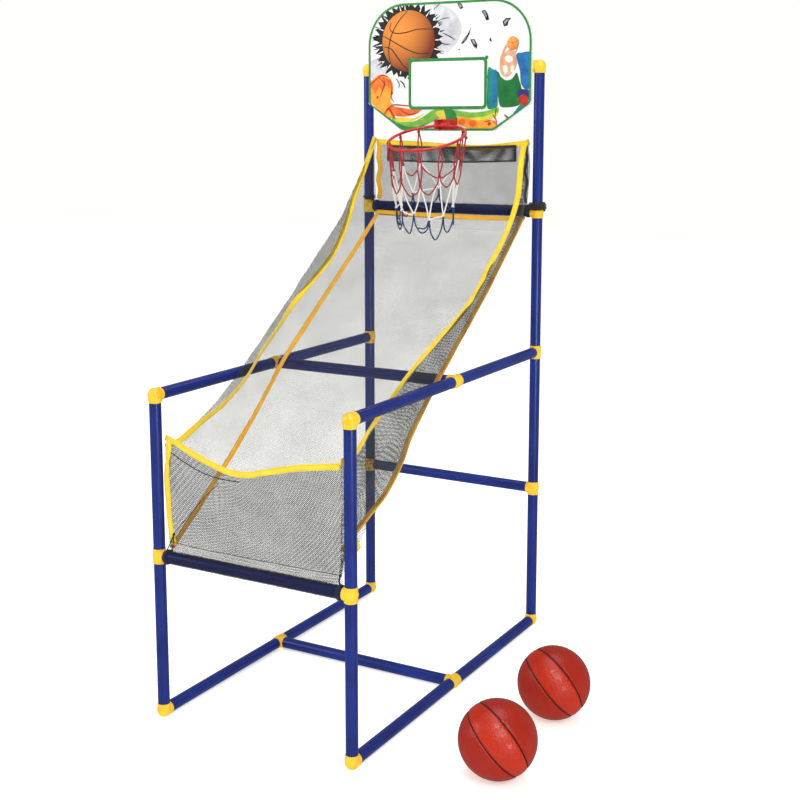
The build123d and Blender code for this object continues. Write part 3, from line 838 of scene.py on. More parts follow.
pocket_threads = cord_piece(
    "pocket_threads",
    [pocket_line([(-0.214, POCKET_SEAM), (-0.10, POCKET_SEAM - 0.001), (0.10, POCKET_SEAM),
                  (0.214, POCKET_SEAM)]),
     pocket_line([(-0.196, 0.432), (-0.150, 0.478), (-0.110, 0.520), (-0.076, 0.552)])],
    0.0009, HEM_THREAD, slot="net_cord",
)
pocket_elastic = cord_piece(
    "pocket_elastic",
    [pocket_line([(-0.203, 0.603), (-0.160, 0.585), (-0.115, 0.571), (-0.070, 0.565),
                  (-0.020, 0.565)])],
    0.0011, ELASTIC, slot="elastic_cord",
)

BACK_FOOT = REAR_BAR.z + SLEEVE_R
BACK_TOP = [(-0.2205, 1.254), (-0.14, 1.251), (-0.062, 1.247), (0.03, 1.242), (0.086, 1.241),
            (0.16, 1.247), (0.2205, 1.255)]


def back_crease(across, height, share):
    """The back panel's creases, which die out at its foot and its top."""
    return ripple((across, height, 2), 13.0, 0.004, 4.0) * math.sin(math.pi * share)


def back_cloth(s, t):
    across = (2 * s - 1) * (NET_HALF - CLOTH_IN)
    top = table_curve(BACK_TOP, across)[0] - CLOTH_IN
    height = BACK_FOOT + t * (top - BACK_FOOT)
    crease = back_crease(across, height, t)
    return Vector((MID_X + across, REAR_BAR.y + crease, height))


BACK_SIZE = (2 * NET_HALF, 0.165)
back = cloth_piece(
    "back_cloth", back_cloth, BACK_SIZE, (44, 18), BACK_NET, slot="net_mesh", replaces=["back_net"],
)


def back_top_tape():
    route = []
    for k in range(61):
        across = (2 * k / 60 - 1) * (NET_HALF - 0.001)
        height = table_curve(BACK_TOP, across)[0] - TAPE / 2 + ripple((across, 2, 0), 16.0, 0.0014)
        route.append((Vector((MID_X + across, REAR_BAR.y, height)), Vector((0, 0, 1))))
    return route


BACK_SIDE_WAVE = [
    (1.098, 0.0), (1.120, -0.004), (1.150, 0.002), (1.180, -0.005), (1.205, 0.001), (1.230, -0.002),
    (1.252, 0.0),
]


def back_side_tape(side):
    route = []
    for k in range(31):
        height = 1.098 + 0.152 * k / 30
        offset = table_curve(BACK_SIDE_WAVE, height)[0]
        across = side * (NET_HALF - TAPE / 2 + offset)
        route.append((Vector((MID_X + across, REAR_BAR.y, height)), Vector((1, 0, 0))))
    return route


back_tapes = tape_piece(
    "back_tapes", [back_top_tape()], BRIGHT_TAPE, slot="binding_tape", replaces=["back_binding"],
)
back_left_tape = tape_piece("back_left_tape", [back_side_tape(-1)], GOLD_TAPE, slot="binding_tape")
BLACK_TAPE = woven_tape("dark_tape", rgb(14, 14, 16), rgb(34, 34, 38), rgb(60, 60, 64))
back_right_tape = tape_piece("back_right_tape", [back_side_tape(1)], BLACK_TAPE, width=0.007,
                             slot="binding_tape")

PATCH_LOW, PATCH_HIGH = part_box("back_patch")
PATCH_HALF = (PATCH_HIGH.x - PATCH_LOW.x) / 2
PATCH_TALL = PATCH_HIGH.z - PATCH_LOW.z
PATCH_PROUD = 0.0028


def on_back(across, height):
    """A point in front of the back panel's cloth, whose creases the patch shares."""
    crease = back_crease(across, height, (height - BACK_FOOT) / (BACK_TOP_Z - BACK_FOOT))
    return Vector((MID_X + across, REAR_BAR.y + crease - PATCH_PROUD, height))


def patch_cloth(s, t):
    droop = 0.004 * math.sin(math.pi * s) - 0.003 * s
    return on_back((2 * s - 1) * PATCH_HALF, PATCH_LOW.z - droop + t * PATCH_TALL)


patch = cloth_piece(
    "patch_cloth", patch_cloth, (2 * PATCH_HALF, PATCH_TALL), (48, 8), DARK_NET,
    slot="dark_mesh", replaces=["back_patch"],
)


def patch_edge(corners):
    """One side of the patch's black border, between two of its corners."""
    (s0, t0), (s1, t1) = corners
    across = Vector((0, 0, 1)) if t0 == t1 else Vector((1, 0, 0))
    inset_s, inset_t = 0.004 / (2 * PATCH_HALF), 0.003 / PATCH_TALL
    route = []
    for k in range(31):
        s, t = s0 + (s1 - s0) * k / 30, t0 + (t1 - t0) * k / 30
        s, t = min(max(s, inset_s), 1 - inset_s), min(max(t, inset_t), 1 - inset_t)
        route.append((patch_cloth(s, t) + Vector((0, -0.0004, 0)), across))
    return route


patch_sides = tape_piece(
    "patch_side_border", [patch_edge([(0, 0), (0, 1)]), patch_edge([(1, 0), (1, 1)])], BLACK_TAPE,
    width=0.008, slot="dark_mesh",
)
patch_border = tape_piece(
    "patch_border", [patch_edge([(0, 0), (1, 0)]), patch_edge([(0, 1), (1, 1)])], BLACK_TAPE,
    width=0.004, slot="dark_mesh",
)


# ---- the net sleeves round the two bars that carry the chute ------------------------------------
SLEEVE_HALF = MID_X - 0.021            # half of a sleeve's length


def sleeve_cloth(bar, seed):
    def place(s, t):
        turn = 2 * math.pi * s
        across = (2 * t - 1) * SLEEVE_HALF
        end = min(1.0, (1 - abs(2 * t - 1)) * 20)
        swell = 0.0006 + end * abs(ripple((across, math.cos(turn) * 0.05, math.sin(turn) * 0.05),
                                          26.0, 0.0011, seed))
        radius = SLEEVE_R - 0.0005 + swell
        return Vector((MID_X + across, bar.y + radius * math.cos(turn),
                       bar.z + radius * math.sin(turn)))
    return place


SLEEVE_SIZE = (2 * math.pi * SLEEVE_R, 2 * SLEEVE_HALF)
front_sleeve = cloth_piece(
    "front_sleeve_cloth", sleeve_cloth(FRONT_BAR, 1.0), SLEEVE_SIZE, (28, 100), SLEEVE_NET,
    slot="sleeve_net", replaces=["front_bar_sleeve"],
)
rear_sleeve = cloth_piece(
    "rear_sleeve_cloth", sleeve_cloth(REAR_BAR, 2.0), SLEEVE_SIZE, (28, 100), SLEEVE_NET,
    slot="sleeve_net", replaces=["rear_bar_sleeve"],
)


def sleeve_cuff(bar, across):
    """The gathered elastic end of a sleeve."""
    route = []
    for k in range(28):
        turn = 2 * math.pi * k / 28
        radius = SLEEVE_R + 0.0008 + 0.0005 * math.sin(5 * turn)
        route.append(Vector((MID_X + across, bar.y + radius * math.cos(turn),
                             bar.z + radius * math.sin(turn))))
    return route


bm = bmesh.new()
for bar in (FRONT_BAR, REAR_BAR):
    for side in (-1, 1):
        for inset in (0.0225, 0.0262):
            sweep(bm, sleeve_cuff(bar, side * (MID_X - inset)), round_section(0.0016), closed=True)
outward(bm)
piece("sleeve_cuffs", bm, ELASTIC, slot="elastic_cord")


# ---- the black elastic at the chute's four corners ----------------------------------------------
def winding(centre, radius, turns, rise, start=0.0, wobble=0.0012, seed=0.0):
    """Cord wound round an upright post."""
    route = []
    steps = int(18 * turns)
    for k in range(steps + 1):
        turn = start + 2 * math.pi * turns * k / steps
        out = radius + wobble * (1 + noise.noise(Vector((turn, seed, 0.3))))
        height = rise * k / steps + 0.0012 * noise.noise(Vector((turn * 1.3, seed, 2.0)))
        route.append(Vector(centre) + Vector((out * math.cos(turn), out * math.sin(turn), height)))
    return route


def knot(centre, size, seed):
    """A small tangled knot, as a closed line that doubles over itself."""
    route = []
    for k in range(64):
        turn = 2 * math.pi * k / 64
        out = 1 + 0.42 * math.cos(3 * turn)
        tilt = Vector((out * math.cos(2 * turn), out * math.sin(2 * turn),
                       0.75 * math.sin(3 * turn)))
        tilt.rotate(Matrix.Rotation(seed, 3, Vector((1, seed, 2)).normalized()))
        route.append(Vector(centre) + tilt * size)
    return route


REAR_TIE_Z = middle("rear_upper_tees").z + 0.0205
bm = bmesh.new()
for x, side in ((0, 1), (WIDTH, -1)):
    reach, rise = (0.042, 0.054) if side > 0 else (0.024, 0.036)
    corner = Vector((x + side * reach, FRONT_BAR.y - 0.001, FRONT_BAR.z + rise))
    foot = Vector((x + side * 0.0235, FRONT_BAR.y - 0.004, FRONT_BAR.z + SLEEVE_R + 0.0006))
    second = Vector((x + side * (reach - 0.003), FRONT_BAR.y - 0.004, foot.z))
    for low in (foot, second):
        bend = low.lerp(corner, 0.5) + Vector((side * 0.0015, -0.002, 0.0))
        sweep(bm, smooth_route([low, bend, corner], 8), round_section(0.0012))
    sweep(bm, knot(corner, 0.0018, 0.7 + side), round_section(0.0011), closed=True)
# the right rear corner is wound thick, over the fitting and the gathered net
right_rear = (WIDTH, REAR_BAR.y, REAR_BAR.z)
for layer, (radius, rise, low, turns) in enumerate((
    (0.0172, 0.020, 0.002, 5.4), (0.0190, -0.017, 0.021, 4.3), (0.0206, 0.012, 0.005, 2.6),
)):
    centre = Vector(right_rear) + Vector((0, 0, low))
    sweep(bm, winding(centre, radius, turns, rise, 0.9 * layer, 0.0012, 3.0 + layer),
          round_section(0.0017))
for k in range(5):
    reach = 0.004 * k
    band = smooth_route([
        Vector(right_rear) + Vector((-0.010 - 0.2 * reach, -0.0185, 0.010 - reach)),
        Vector(right_rear) + Vector((-0.026, -0.0190 - 0.0008 * k, 0.014 - reach)),
        Vector(right_rear) + Vector((-0.040 - 0.8 * reach, -0.0110, 0.010 - 1.2 * reach)),
        Vector(right_rear) + Vector((-0.052 - 0.8 * reach, -0.0170, -0.002 + 0.8 * reach)),
    ], 7)
    sweep(bm, band, round_section(0.0016))
# the left rear corner is one neat winding with a knot
left_rear = Vector((0, REAR_BAR.y, REAR_TIE_Z))
sweep(bm, winding(left_rear, TUBE_R + 0.0017, 3.2, 0.006, 0.2, 0.0004, 8.0), round_section(0.0013))
tie_end = Vector((0.0175, REAR_BAR.y - 0.011, REAR_TIE_Z - 0.001))
sweep(bm, knot(tie_end, 0.0034, 1.9), round_section(0.0014), closed=True)
sweep(bm, smooth_route([
    tie_end, tie_end + Vector((0.006, -0.004, -0.010)), tie_end + Vector((0.012, -0.004, -0.022)),
    tie_end + Vector((0.015, 0.0, -0.034)),
], 7), round_section(0.0013))
outward(bm)
piece("corner_ties_cord", bm, ELASTIC, slot="elastic_cord", replaces=["corner_ties"])

# ================================================================================================
# Hoop net: ten cords from the rim's hooks, knotted in three colours
# ================================================================================================
RIM_DROOP = math.radians(18)
HINGE = middle("rim_pin")
RIM_R = 0.097
RING_REACH = RIM_R + 0.0095
RING = HINGE + Vector((0, -math.cos(RIM_DROOP), -math.sin(RIM_DROOP))) * RING_REACH
RING_BACK = Vector((0, math.cos(RIM_DROOP), math.sin(RIM_DROOP)))
RING_UP = Vector((0, -math.sin(RIM_DROOP), math.cos(RIM_DROOP)))
HOOKS = 10
HOOK_FIRST = math.radians(40)
HOOK_STEP = 2 * (math.pi - HOOK_FIRST) / (HOOKS - 1)
HOOK_DROP = 0.0085


def hook_place(number):
    """Where the net hangs on one hook. Hooks run clockwise from the right of the hinge."""
    turn = HOOK_FIRST + HOOK_STEP * number
    out = Vector((math.sin(turn), 0, 0)) + RING_BACK * math.cos(turn)
    return RING + out * (RIM_R + 0.001) - RING_UP * HOOK_DROP


def net_place(number, drop, radius):
    """A point of the net below the ring: number runs round it in hooks, drop is straight down."""
    turn = HOOK_FIRST + HOOK_STEP * number
    if number > HOOKS - 1:
        turn = -HOOK_FIRST + 2 * HOOK_FIRST * (number - HOOKS + 1)
    elif number < 0:
        turn = HOOK_FIRST * (1 + 2 * number)
    level = RING.z + RING_BACK.z * math.cos(turn) * RIM_R
    return Vector((MID_X + radius * math.sin(turn),
                   RING.y + radius * math.cos(turn) * math.cos(RIM_DROOP), level - drop))


def strand(points, loose=0.0, steps=7):
    """A cord through the points, hanging a little between them."""
    route = smooth_route(points, steps)
    last = len(route) - 1
    for k, point in enumerate(route):
        point.z -= loose * math.sin(math.pi * k / last)
    return route


NET_CORD_R = 0.0018
chance = random.Random(11)
red, white, navy, knots = [], [], [], []
TOP_DROP, WHITE_DROP = 0.076, 0.163


def jitter(size):
    return Vector((chance.uniform(-size, size), chance.uniform(-size, size),
                   chance.uniform(-size, size)))


upper = [net_place(k, TOP_DROP + chance.uniform(-0.010, 0.010), 0.088) + jitter(0.003)
         for k in range(HOOKS)]
lower = [net_place(k + 0.5, WHITE_DROP + chance.uniform(-0.012, 0.010), 0.072) + jitter(0.004)
         for k in range(HOOKS)]
for k in range(HOOKS):
    hook, tie = hook_place(k), upper[k]
    for side in (-1, 1):
        wide = 0.0035 + chance.uniform(0, 0.003)
        sideways = (net_place(k + 0.1 * side, 0, 0.09) - net_place(k, 0, 0.09)).normalized()
        half_way = hook.lerp(tie, 0.5) + sideways * wide
        red.append(strand([hook + Vector((0, 0, 0.001)), half_way, tie]))
    red.append(knot(hook + Vector((0, 0, -0.001)), 0.0018, k * 0.7))
    knots.append(("red", knot(tie, 0.0021, k * 1.3)))
    following = upper[(k + 1) % HOOKS]
    dip = chance.uniform(0.022, 0.040)
    ends = (tie + Vector((0, 0, -0.001)), following + Vector((0, 0, -0.001)))
    quarter = [ends[0].lerp(ends[1], share) for share in (0.14, 0.5, 0.86)]
    quarter[0].z -= dip * 0.62
    quarter[1].z -= dip * 1.18
    quarter[2].z -= dip * 0.62
    red.append(strand([ends[0], *quarter, ends[1]]))
for k in range(HOOKS):
    left, right = upper[k], upper[(k + 1) % HOOKS]
    bottom = lower[k]
    white.append(strand([left, left.lerp(bottom, 0.5) + jitter(0.004), bottom], 0.003))
    white.append(strand([right, right.lerp(bottom, 0.5) + jitter(0.004), bottom], 0.003))
    knots.append(("white", knot(bottom, 0.0021, k * 0.9 + 0.4)))
    following = lower[(k + 1) % HOOKS]
    middle_sag = bottom.lerp(following, 0.5)
    if k % 2 == 0:
        slack = middle_sag + Vector((0, 0, chance.uniform(0.004, 0.014)))
        white.append(strand([bottom, slack, following], 0.010))
for k in range(HOOKS):
    first, second = lower[k], lower[(k + 1) % HOOKS]
    dip = chance.uniform(0.040, 0.058)
    a = first.lerp(second, 0.10) + jitter(0.002)
    b = first.lerp(second, 0.5) + jitter(0.003)
    c = first.lerp(second, 0.90) + jitter(0.002)
    a.z -= dip * 0.6
    b.z -= dip
    c.z -= dip * 0.6
    navy.append(strand([first, a, b, c, second]))
    if k % 3 == 0:
        d = first.lerp(b, 0.45) + Vector((0, 0, -0.006))
        navy.append(strand([first, d, b.lerp(c, 0.6)]))
    knots.append(("navy", knot(first + Vector((0, 0, -0.0015)), 0.0019, k * 0.6)))
for name, routes in (("red", red), ("white", white), ("navy", navy)):
    bm = bmesh.new()
    for route in routes:
        sweep(bm, route, round_section(NET_CORD_R, 7))
    for colour, route in knots:
        if colour == name:
            sweep(bm, route, round_section(NET_CORD_R * 0.9, 6), closed=True)
    outward(bm)
    piece(
        f"hoop_net_{name}", bm, NET_CORDS[name], body="rim", slot="net_cord",
        replaces=["hoop_net"] if name == "white" else (),
    )

# ================================================================================================
# Backboard print: flat shapes of ink, each a fraction of a millimetre in front of the last
# ================================================================================================
BOARD_LOW, BOARD_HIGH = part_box("backboard")
BOARD_FRONT = BOARD_LOW.y
BOARD_HALF = MID_X - BOARD_LOW.x
INK = 0.00018                          # step from one layer of ink to the next


def board_line(inset):
    """The board's outline moved inwards, as (across, height) points.

    It has two round corners at the top and a tapered foot."""
    half, top, bottom = BOARD_HALF - inset, BOARD_HIGH.z - inset, BOARD_LOW.z + inset
    corner = 0.105 - inset
    shoulder = BOARD_LOW.z + 0.069
    foot = 0.133 - 0.45 * inset
    line = [(foot * 0.955, bottom), (foot + 0.004, bottom + 0.004)]
    line += [(half - 0.005, shoulder - 0.0035), (half, shoulder + 0.004)]
    for k in range(13):
        turn = math.pi / 2 * k / 12
        line.append((half - corner + corner * math.cos(turn),
                     top - corner + corner * math.sin(turn)))
    return line + [(-across, height) for across, height in reversed(line)]


def clip(shape, window):
    """A polygon cut to a convex, anticlockwise window."""
    kept = list(shape)
    for k, (x1, y1) in enumerate(window):
        x2, y2 = window[(k + 1) % len(window)]

        def inside(point):
            return (x2 - x1) * (point[1] - y1) - (y2 - y1) * (point[0] - x1) >= 0

        source, kept = kept, []
        for number, point in enumerate(source):
            last = source[number - 1]
            if inside(point) != inside(last):
                run = (point[0] - last[0], point[1] - last[1])
                gap = (x2 - x1) * run[1] - (y2 - y1) * run[0]
                share = ((y2 - y1) * (last[0] - x1) - (x2 - x1) * (last[1] - y1)) / gap
                kept.append((last[0] + run[0] * share, last[1] + run[1] * share))
            if inside(point):
                kept.append(point)
        if not kept:
            return []
    return kept


def blob(points, steps=6):
    """A smooth closed shape through (across, height) points, in millimetres."""
    route = smooth_route([(x / 1000, z / 1000, 0) for x, z in points], steps, closed=True)
    return [(point.x, point.y) for point in route]


def jagged(points):
    return [(x / 1000, z / 1000) for x, z in points]


def brush(points, width, taper=0.15):
    """A line of ink that thins towards both ends."""
    route = smooth_route([(x / 1000, z / 1000, 0) for x, z in points], 8)
    sides = ([], [])
    last = len(route) - 1
    for k, point in enumerate(route):
        run = (route[min(k + 1, last)] - route[max(k - 1, 0)]).normalized()
        half = width / 2000 * (taper + (1 - taper)
                               * math.sin(math.pi * min(1.0, (k + 0.5) / (last + 1))) ** 0.5)
        sides[0].append((point.x - run.y * half, point.y + run.x * half))
        sides[1].append((point.x + run.y * half, point.y - run.x * half))
    return sides[0] + sides[1][::-1]


def disc(across, height, radius, sides=48):
    return [
        ((across + radius * math.cos(2 * math.pi * k / sides)) / 1000,
         (height + radius * math.sin(2 * math.pi * k / sides)) / 1000)
        for k in range(sides)
    ]


PRINT_EDGE = board_line(0.0015)


def print_face(bm, corners):
    """A flat face of ink that looks to the front."""
    face = bm.faces.new(corners)
    face.normal_update()
    if face.normal.y > 0:
        face.normal_flip()


def ink(name, shapes, layer, material, window=PRINT_EDGE):
    """Prints flat shapes in one colour, cut to the board."""
    bm = bmesh.new()
    y = BOARD_FRONT - INK * layer
    for shape in shapes:
        shape = clip(shape, window)
        if len(shape) < 3:
            continue
        print_face(bm, [bm.verts.new((MID_X + across, y, height)) for across, height in shape])
    bmesh.ops.triangulate(bm, faces=bm.faces)
    return piece(f"print_{name}", bm, material, slot="printed_board", smooth=False)


def ring_ink(name, outer, inner, layer, material):
    """Prints a closed band between two outlines with the same number of points."""
    bm = bmesh.new()
    y = BOARD_FRONT - INK * layer
    rims = [[bm.verts.new((MID_X + a, y, h)) for a, h in line] for line in (outer, inner)]
    for k in range(len(outer)):
        after = (k + 1) % len(outer)
        print_face(bm, (rims[0][k], rims[0][after], rims[1][after], rims[1][k]))
    return piece(f"print_{name}", bm, material, slot="printed_board", smooth=False)


def rounded_box(half, low, high, radius):
    line = []
    for x, z, start in ((half, high, 0), (-half, high, 1), (-half, low, 2), (half, low, 3)):
        for k in range(7):
            turn = math.pi / 2 * (start + k / 6)
            line.append((x - math.copysign(radius, x) + radius * math.cos(turn),
                         z - (radius if z == high else -radius) + radius * math.sin(turn)))
    return line


def shaded_ink(name, centre, radius, inner, outer, offset=(0.0, 0.0)):
    """Ink that darkens from a bright spot outwards, as an airbrushed ball does."""
    shader = Shader(name, 0.36, Coat_Weight=0.15, Coat_Roughness=0.2)
    place = shader.node("TexCoord").outputs["Object"]
    spot = (-(MID_X + centre[0] + offset[0]), -BOARD_FRONT, -(centre[1] + offset[1]))
    away = shader.node("VectorMath", place, spot, operation="ADD").outputs[0]
    reach = shader.node("VectorMath", away, operation="LENGTH").outputs["Value"]
    share = shader.ramp(reach, 0.0, radius, 0.0, 1.0)
    share = shader.math("POWER", share, 1.6)
    grain = shader.noise(shader.coordinates(), 420.0, 2.0)
    share = shader.math("ADD", share, shader.ramp(grain, 0.3, 0.7, -0.05, 0.05))
    shader.colour(shader.mix(share, inner, outer))
    shader.bump(grain, 0.00004)
    return shader.material


BOARD_WHITE = paint("board_white", rgb(230, 230, 230), rgb(240, 240, 239))
dress("backboard", BOARD_WHITE)
GREEN = paint("ink_green", rgb(30, 120, 52), rgb(48, 142, 66))
PALE = paint("ink_target", rgb(250, 252, 250), rgb(255, 255, 255))
BLACK = paint("ink_black", rgb(14, 12, 12), rgb(34, 28, 26))
SMOKE = paint("ink_smoke", rgb(176, 176, 184), rgb(222, 222, 228), 34.0)
MID_GREY = paint("ink_grey", rgb(120, 120, 122), rgb(176, 176, 178), 90.0)
ORANGE = paint("ink_orange", rgb(214, 82, 18), rgb(238, 124, 34), 40.0)
AMBER = paint("ink_amber", rgb(226, 134, 26), rgb(244, 170, 50), 40.0)
RED = paint("ink_red", rgb(160, 26, 16), rgb(206, 52, 24))
YELLOW = paint("ink_yellow", rgb(206, 192, 44), rgb(232, 216, 74))
LIME = paint("ink_lime", rgb(96, 166, 50), rgb(136, 192, 66))
TEAL = paint("ink_teal", rgb(6, 112, 110), rgb(18, 140, 132), 50.0)
SKY = paint("ink_blue", rgb(12, 86, 148), rgb(24, 118, 176), 50.0)
DEEP_GREEN = paint("ink_deep_green", rgb(6, 96, 40), rgb(14, 124, 52), 50.0)

BALL_U, BALL_Z, BALL_IN = -113.0, 1503.0, 77.0
BALL_INK = shaded_ink(
    "ink_ball", (BALL_U / 1000, BALL_Z / 1000), 0.104, rgb(234, 142, 50), rgb(120, 38, 6),
    (-0.028, 0.030)
)
SMALL_BALL_INK = shaded_ink("ink_small_ball", (0.181, 1.489), 0.030, rgb(244, 170, 84),
                            rgb(170, 66, 14), (-0.006, 0.006))

# smoke behind the burst, and a soft grey boulder below it
ink("smoke", [
    blob([(-40, 1590), (0, 1582), (28, 1560), (40, 1530), (30, 1500), (10, 1478), (-14, 1468),
          (-34, 1486), (-30, 1530)]),
    blob([(-226, 1452), (-200, 1462), (-176, 1452), (-168, 1432), (-182, 1414), (-206, 1408),
          (-226, 1416)]),
], 1, SMOKE)

# the burst that the ball breaks through: an uneven ring of black splinters
burst_chance = random.Random(23)
teeth = []
for k in range(64):
    turn = 2 * math.pi * k / 64
    side = math.cos(turn)
    low = 84 + 5 * burst_chance.random()
    spike, extra = 15 if abs(side) > 0.4 else 11, 6 if side < -0.5 else 0
    high = low + spike * burst_chance.uniform(0.5, 1.25) + extra
    reach = high if k % 2 else low
    skew = turn + burst_chance.uniform(-0.03, 0.03)
    teeth.append((BALL_U + reach * math.cos(skew), BALL_Z + reach * math.sin(skew)))
splinters = []
for k in range(26):
    turn = burst_chance.uniform(-0.9, 0.9) + (0 if k % 3 else math.pi)
    start, reach = 92 + 4 * burst_chance.random(), burst_chance.uniform(9, 22)
    wide = burst_chance.uniform(0.012, 0.03)
    splinters.append(jagged([
        (BALL_U + start * math.cos(turn - wide), BALL_Z + start * math.sin(turn - wide)),
        (BALL_U + (start + reach) * math.cos(turn), BALL_Z + (start + reach) * math.sin(turn)),
        (BALL_U + start * math.cos(turn + wide), BALL_Z + start * math.sin(turn + wide)),
    ]))
ink("burst", [jagged(teeth), *splinters], 2, BLACK)
light_cracks = []
for k in range(16):
    turn = 2 * math.pi * k / 16 + burst_chance.uniform(-0.12, 0.12)
    light_cracks.append(jagged([
        (BALL_U + 79 * math.cos(turn - 0.012), BALL_Z + 79 * math.sin(turn - 0.012)),
        (BALL_U + 103 * math.cos(turn + 0.01), BALL_Z + 103 * math.sin(turn + 0.01)),
        (BALL_U + 79 * math.cos(turn + 0.022), BALL_Z + 79 * math.sin(turn + 0.022)),
    ]))
ink("burst_light", light_cracks, 3, PALE)

# flames in the lower left corner
ink("flame", [
    blob([(-228, 1400), (-214, 1412), (-196, 1420), (-176, 1416), (-160, 1400), (-158, 1376),
          (-166, 1352),
          (-150, 1334), (-150, 1318), (-172, 1306), (-200, 1326), (-226, 1352), (-230, 1376)]),
], 2, AMBER)
ink("flame_hot", [
    blob([(-226, 1396), (-208, 1410), (-186, 1414), (-168, 1404), (-166, 1384), (-180, 1392),
          (-190, 1376),
          (-200, 1390), (-212, 1372)]),
    blob([(-172, 1336), (-140, 1336), (-100, 1330), (-70, 1334), (-92, 1318), (-130, 1312),
          (-160, 1318)]),
], 3, ORANGE)
ink("flame_lines", [
    brush([(-229, 1392), (-212, 1406), (-192, 1418), (-172, 1414)], 4.0),
    brush([(-188, 1414), (-184, 1396), (-192, 1376), (-196, 1364)], 3.2),
    brush([(-168, 1408), (-162, 1386), (-164, 1362), (-156, 1350)], 3.2),
    brush([(-176, 1330), (-158, 1342), (-120, 1340), (-84, 1338)], 3.4),
    brush([(-186, 1316), (-172, 1332), (-160, 1318), (-152, 1306)], 6.0),
    brush([(-140, 1334), (-124, 1322), (-104, 1318), (-82, 1324)], 3.0),
    disc(-205, 1362, 3.6, 16), disc(-161, 1372, 3.0, 16),
], 4, RED)

# coloured bands that sweep along the foot of the board
ink("band_lime", [
    blob([(-160, 1312), (-128, 1300), (-96, 1300), (-66, 1314), (-36, 1330), (0, 1330),
          (-16, 1312), (-44, 1298),
          (-70, 1288), (-104, 1282), (-136, 1286), (-158, 1298)]),
    blob([(4, 1330), (36, 1326), (74, 1322), (112, 1326), (142, 1334), (140, 1318), (108, 1308),
          (70, 1306),
          (34, 1308), (10, 1316)]),
], 3, LIME)
ink("band_yellow", [
    blob([(-156, 1308), (-128, 1310), (-98, 1308), (-66, 1320), (-92, 1304), (-120, 1298),
          (-148, 1300)]),
    blob([(20, 1314), (60, 1309), (104, 1312), (136, 1322), (138, 1312), (104, 1302), (60, 1300),
          (28, 1304)]),
    blob([(-34, 1322), (-8, 1328), (0, 1318), (-4, 1304), (-20, 1308)]),
], 4, YELLOW)
ink("band_green", [
    blob([(-8, 1330), (10, 1330), (24, 1320), (28, 1302), (14, 1290), (0, 1296), (-4, 1312)]),
    blob([(-150, 1296), (-120, 1288), (-88, 1286), (-60, 1294), (-84, 1280), (-120, 1278),
          (-146, 1284)]),
], 5, GREEN)
ink("band_orange", [
    blob([(24, 1306), (44, 1312), (66, 1306), (90, 1302), (116, 1304), (136, 1300), (134, 1284),
          (104, 1280),
          (70, 1282), (44, 1288), (28, 1296)]),
], 5, AMBER)
ink("band_spots", [
    blob([(36, 1304), (48, 1306), (52, 1298), (46, 1290), (36, 1294)]),
    blob([(64, 1300), (78, 1302), (84, 1294), (76, 1286), (64, 1290)]),
], 6, ORANGE)
ink("band_marks", [
    brush([(104, 1298), (114, 1300), (122, 1302)], 2.4), disc(119, 1294, 4.4, 18),
    brush([(126, 1318), (136, 1306), (140, 1294)], 3.0),
    brush([(128, 1300), (136, 1296), (142, 1288)], 2.2),
], 7, RED)

# a leaping wave of colour on the right, where a small ball flies up
ink("wave_teal", [
    blob([(114, 1430), (126, 1428), (140, 1420), (146, 1396), (142, 1360), (140, 1336),
          (124, 1330), (112, 1336),
          (112, 1380)]),
    blob([(216, 1352), (226, 1344), (208, 1326), (190, 1312), (172, 1298), (180, 1314),
          (196, 1334)]),
], 2, TEAL)
ink("wave_sky", [
    blob([(190, 1460), (206, 1466), (230, 1464), (234, 1420), (232, 1384), (216, 1378),
          (204, 1392), (200, 1424)]),
    blob([(130, 1424), (142, 1418), (144, 1392), (136, 1350), (126, 1340), (128, 1380)]),
], 3, SKY)
ink("wave_green", [
    blob([(140, 1420), (150, 1408), (164, 1400), (180, 1404), (192, 1418), (200, 1398),
          (208, 1372), (210, 1350),
          (196, 1338), (170, 1334), (148, 1338), (142, 1370)]),
], 4, DEEP_GREEN)
ink("wave_navy", [
    blob([(194, 1374), (212, 1378), (232, 1372), (234, 1356), (216, 1350), (200, 1356)]),
], 5, paint("ink_navy", rgb(24, 36, 96), rgb(40, 54, 130)))
ink("wave_crest", [
    blob([(146, 1426), (148, 1446), (156, 1462), (170, 1474), (184, 1470), (192, 1452),
          (190, 1430), (178, 1416),
          (166, 1408), (154, 1412)]),
], 3, paint("ink_sand", rgb(196, 142, 108), rgb(226, 182, 148), 70.0))
ink("wave_crest_light", [
    blob([(160, 1456), (172, 1460), (182, 1452), (176, 1444), (164, 1446)]),
    blob([(154, 1432), (164, 1436), (168, 1424), (160, 1416)]),
    blob([(176, 1432), (184, 1434), (184, 1422), (177, 1420)]),
], 5, paint("ink_cream", rgb(250, 226, 200), rgb(255, 240, 224), 70.0))
ink("wave_trail", [
    brush([(148, 1428), (150, 1452), (160, 1478), (172, 1492)], 7.0, 0.3),
    brush([(184, 1462), (192, 1474), (194, 1484)], 4.0, 0.3),
], 4, paint("ink_tan", rgb(200, 140, 100), rgb(222, 168, 128), 70.0))
ink("red_spot", [disc(211, 1352, 13)], 6, RED)
ink("right_marks", [
    brush([(160, 1316), (168, 1310), (176, 1304)], 4.0),
    brush([(138, 1334), (136, 1320), (134, 1308)], 2.2),
], 6, BLACK)

